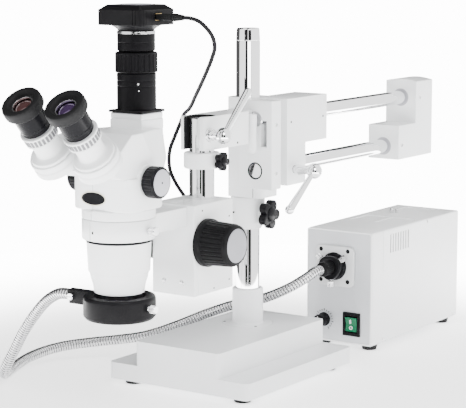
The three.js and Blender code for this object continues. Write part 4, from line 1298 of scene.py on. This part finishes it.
def lamp_controls():
    """The brightness dial and the rocker switch."""
    profile = [(7, -19), (8.2, -18.4), (8.6, -17), (8.8, -4), (10, -2.6), (10, -0.8)]
    knob = turned("y", DIAL, profile, 0.4, sides=192, ribs=(20, 0.6, -16.4, -4.6))
    shaft = cylinder("y", -2, 12, 3, DIAL, 32)
    show("brightness_dial", combined(knob, [shaft]), gloss_black, "intensity_dial", ["intensity_dial"], LAMP)
    mark = block((-24.5, -23.5), (-19.15, -18), (42, 47))
    show("dial_pointer", mark, print_white, "intensity_dial", ["intensity_dial"], LAMP)
    z, half = 37.5, 10.2
    outline = [
        (-2.6, z - half), (-2.4, z - half + 0.6), (-0.9, z), (-3.6, z + half - 1.2), (-3.6, z + half),
        (6, z + 8.7), (9, z), (6, z - 8.7),
    ]
    rocker = rounded(prism("x", 12.4, 30.6, outline), 0.5, 2)
    show("green_rocker", rocker, green, "power_rocker", ["power_rocker"], LAMP)
    bar_mark = block((21, 22), (-4.0, 0), (40, 45.4))
    to_pivot = Matrix.Translation((0, 0.2 * MM, -37.5 * MM))
    back_again = Matrix.Translation((0, -1.0 * MM, 37.5 * MM))
    bar_mark.data.transform(back_again @ Matrix.Rotation(math.radians(14), 4, "X") @ to_pivot)
    o_mark = turned(
        "y", (21.5, 32.6), [(2.6, -2.55), (2.6, -1), (1.8, -1), (1.8, -2.55)], sides=32, hollow=True,
    )
    show("rocker_marks", gathered(bar_mark, o_mark), print_white, "power_rocker", ["power_rocker"], LAMP)


def guide_socket():
    """The plate and the lobed ring that hold the end of the light guide."""
    at = SOCKET
    plate = rounded(prism("y", -5.8, -0.4, rectangle((at[0] - 31, at[0] + 31), (91, 149), 9)), 1.4)
    bore = cylinder("y", -10, 5, 17, at)
    show("socket_plate", combined(plate, cut=[bore]), pale_plastic, "stand", ["guide_socket"], LAMP)
    heads = [
        screw_head("y", -5.8, (at[0] + dx, 120 + dz), 3.2, -0.4, dx)
        for dx in (-22, 22)
        for dz in (-21, 23)
    ]
    show("socket_plate_screws", gathered(*heads), black_plastic, "stand", ["guide_socket"], LAMP)
    lobes = []
    for step in range(90):
        turn = step / 90 * math.tau
        r = 17.0 + 1.0 * math.cos(3 * (turn + math.pi / 2))
        lobes.append((at[0] + r * math.cos(turn), 120 + r * math.sin(turn)))
    collar_ring = rounded(prism("y", -21, -9, lobes), 0.9)
    base = turned("y", at, [(17, -10), (20, -7), (20, -5.4)], 0.4)
    bore = cylinder("y", -30, 5, 10.6, at)
    threads = cylinder("z", 90, 118, 3.3, (at[0], -15))
    show(
        "socket_ring", combined(collar_ring, [base], [bore, threads]), gloss_black, "stand",
        ["guide_socket"], LAMP,
    )
    screw_profile = [(4.6, 92), (4.6, 99.4), (3.9, 100.4), (2.9, 101), (2.9, 109)]
    screw = turned("z", (at[0], -15), screw_profile, 0.3, sides=96, ribs=(22, 0.35, 93, 99))
    show("guide_clamp_screw", screw, nickel, "guide_lock_screw", ["guide_lock_screw"], LAMP)
    others = []
    for turn in (125, -125):
        other = turned(
            "z", (0, 0), [(4.2, -27), (4.2, -20), (2.6, -19.4), (2.6, -11)], 0.3, sides=96,
            ribs=(22, 0.35, -26, -20.4),
        )
        other.data.transform(
            Matrix.Translation((at[0] * MM, -15 * MM, 120 * MM)) @ Matrix.Rotation(
                math.radians(turn), 4, "Y",
            ),
        )
        others.append(other)
    show("guide_side_screws", gathered(*others), nickel, "stand", ["guide_socket"], LAMP)


def guide_ferrule():
    """The end of the light guide, pushed into the illuminator."""
    at = SOCKET
    outside = [(7.4, -44), (8.6, -42.6), (10, -40), (10.4, -38), (10.4, -22.4), (9.2, -22), (9.2, 22)]
    ferrule = turned("y", at, outside, 0.4, ribs=(24, 0.3, -36, -26), sides=96)
    show("guide_ferrule_body", ferrule, black_plastic, "stand", ["guide_ferrule"], LAMP)


def lamp_rear():
    """The illuminator's back, underside, feet and mains inlet."""
    sheet = block((-50.9, 50.9), (260.8, 263.6), (10, 168.6))
    tray = block((-50.9, 50.9), (2.4, 263.6), (8, 11))
    grille = [cylinder("y", 255, 270, 2.2, (dx, 112 + dz), 20)
              for dx in range(-28, 29, 7) for dz in range(-28, 29, 7) if dx * dx + dz * dz < 900]
    inlet = block((-15, 15), (255, 270), (27, 53))
    show(
        "lamp_chassis_sheet", combined(sheet, [tray], [inlet, *grille]), zinc, "stand",
        ["illuminator_chassis"], LAMP,
    )
    for x in (-38, 38):
        for y in (22, 240):
            foot = turned("z", (x, y), [(9.6, 0.2), (10, 0), (12.4, 8.8)], 0.5, sides=64)
            side, end = "left" if x < 0 else "right", "front" if y < 100 else "back"
            show(f"lamp_foot_{side}_{end}", foot, rubber, "stand", ["illuminator_chassis"], LAMP)
    flange = rounded(block((-17, 17), (263.8, 266.1), (25, 55)), 0.8)
    can = block((-14.6, 14.6), (242, 264.6), (27.4, 52.6))
    cavity = rounded(block((-12, 12), (246, 270), (31, 49)), 1.5)
    show("mains_inlet_body", combined(flange, [can], [cavity]), black_plastic, "stand", ["power_inlet"], LAMP)
    pins = [block((x - 1, x + 1), (244, 260), (z - 2.5, z + 2.5)) for x, z in ((-7, 38), (0, 42), (7, 38))]
    show("mains_inlet_pins", gathered(*pins), nickel, "stand", ["power_inlet"], LAMP)


def usb_plug():
    """The plug at the far end of the camera cable."""
    grip = rounded(block((-88, -58), (157.6, 173.6), (10.9, 19.6)), 1.4)
    show("usb_plug_grip", grip, black_plastic, "stand", ["usb_plug"])
    shell = block((-59, -45), (159.6, 171.6), (12.6, 17.1))
    hollow = block((-57, -44), (160.2, 171.0), (13.1, 16.6))
    show("usb_plug_shell", combined(shell, cut=[hollow]), nickel, "stand", ["usb_plug"])


def inner_parts():
    for node, paint in (("halogen_lamp", zinc), ("transformer", anodised), ("cooling_fan", black_plastic)):
        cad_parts[node].data.materials.clear()
        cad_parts[node].data.materials.append(paint)


add_camera()
add_world()
add_floor()
add_light("key", (2.2, -2.0, 2.2), (0, 0, 0.25), (1.6, 1.6), KEY_POWER)
guide_ferrule()
camera_plug()
usb_plug()
light_guide()
camera_cable()
stand_base()
post_and_socket()
collar()
carriage()
boom()
focus_mount()
head_holder()
zoom_body()
trinocular()
photo_port()
camera_body()
ocular(1, "right", violet_glass)
ocular(-1, "left", amber_glass)
ring_light()
lamp_case()
lamp_terminals()
lamp_front()
lamp_controls()
guide_socket()
lamp_rear()
inner_parts()
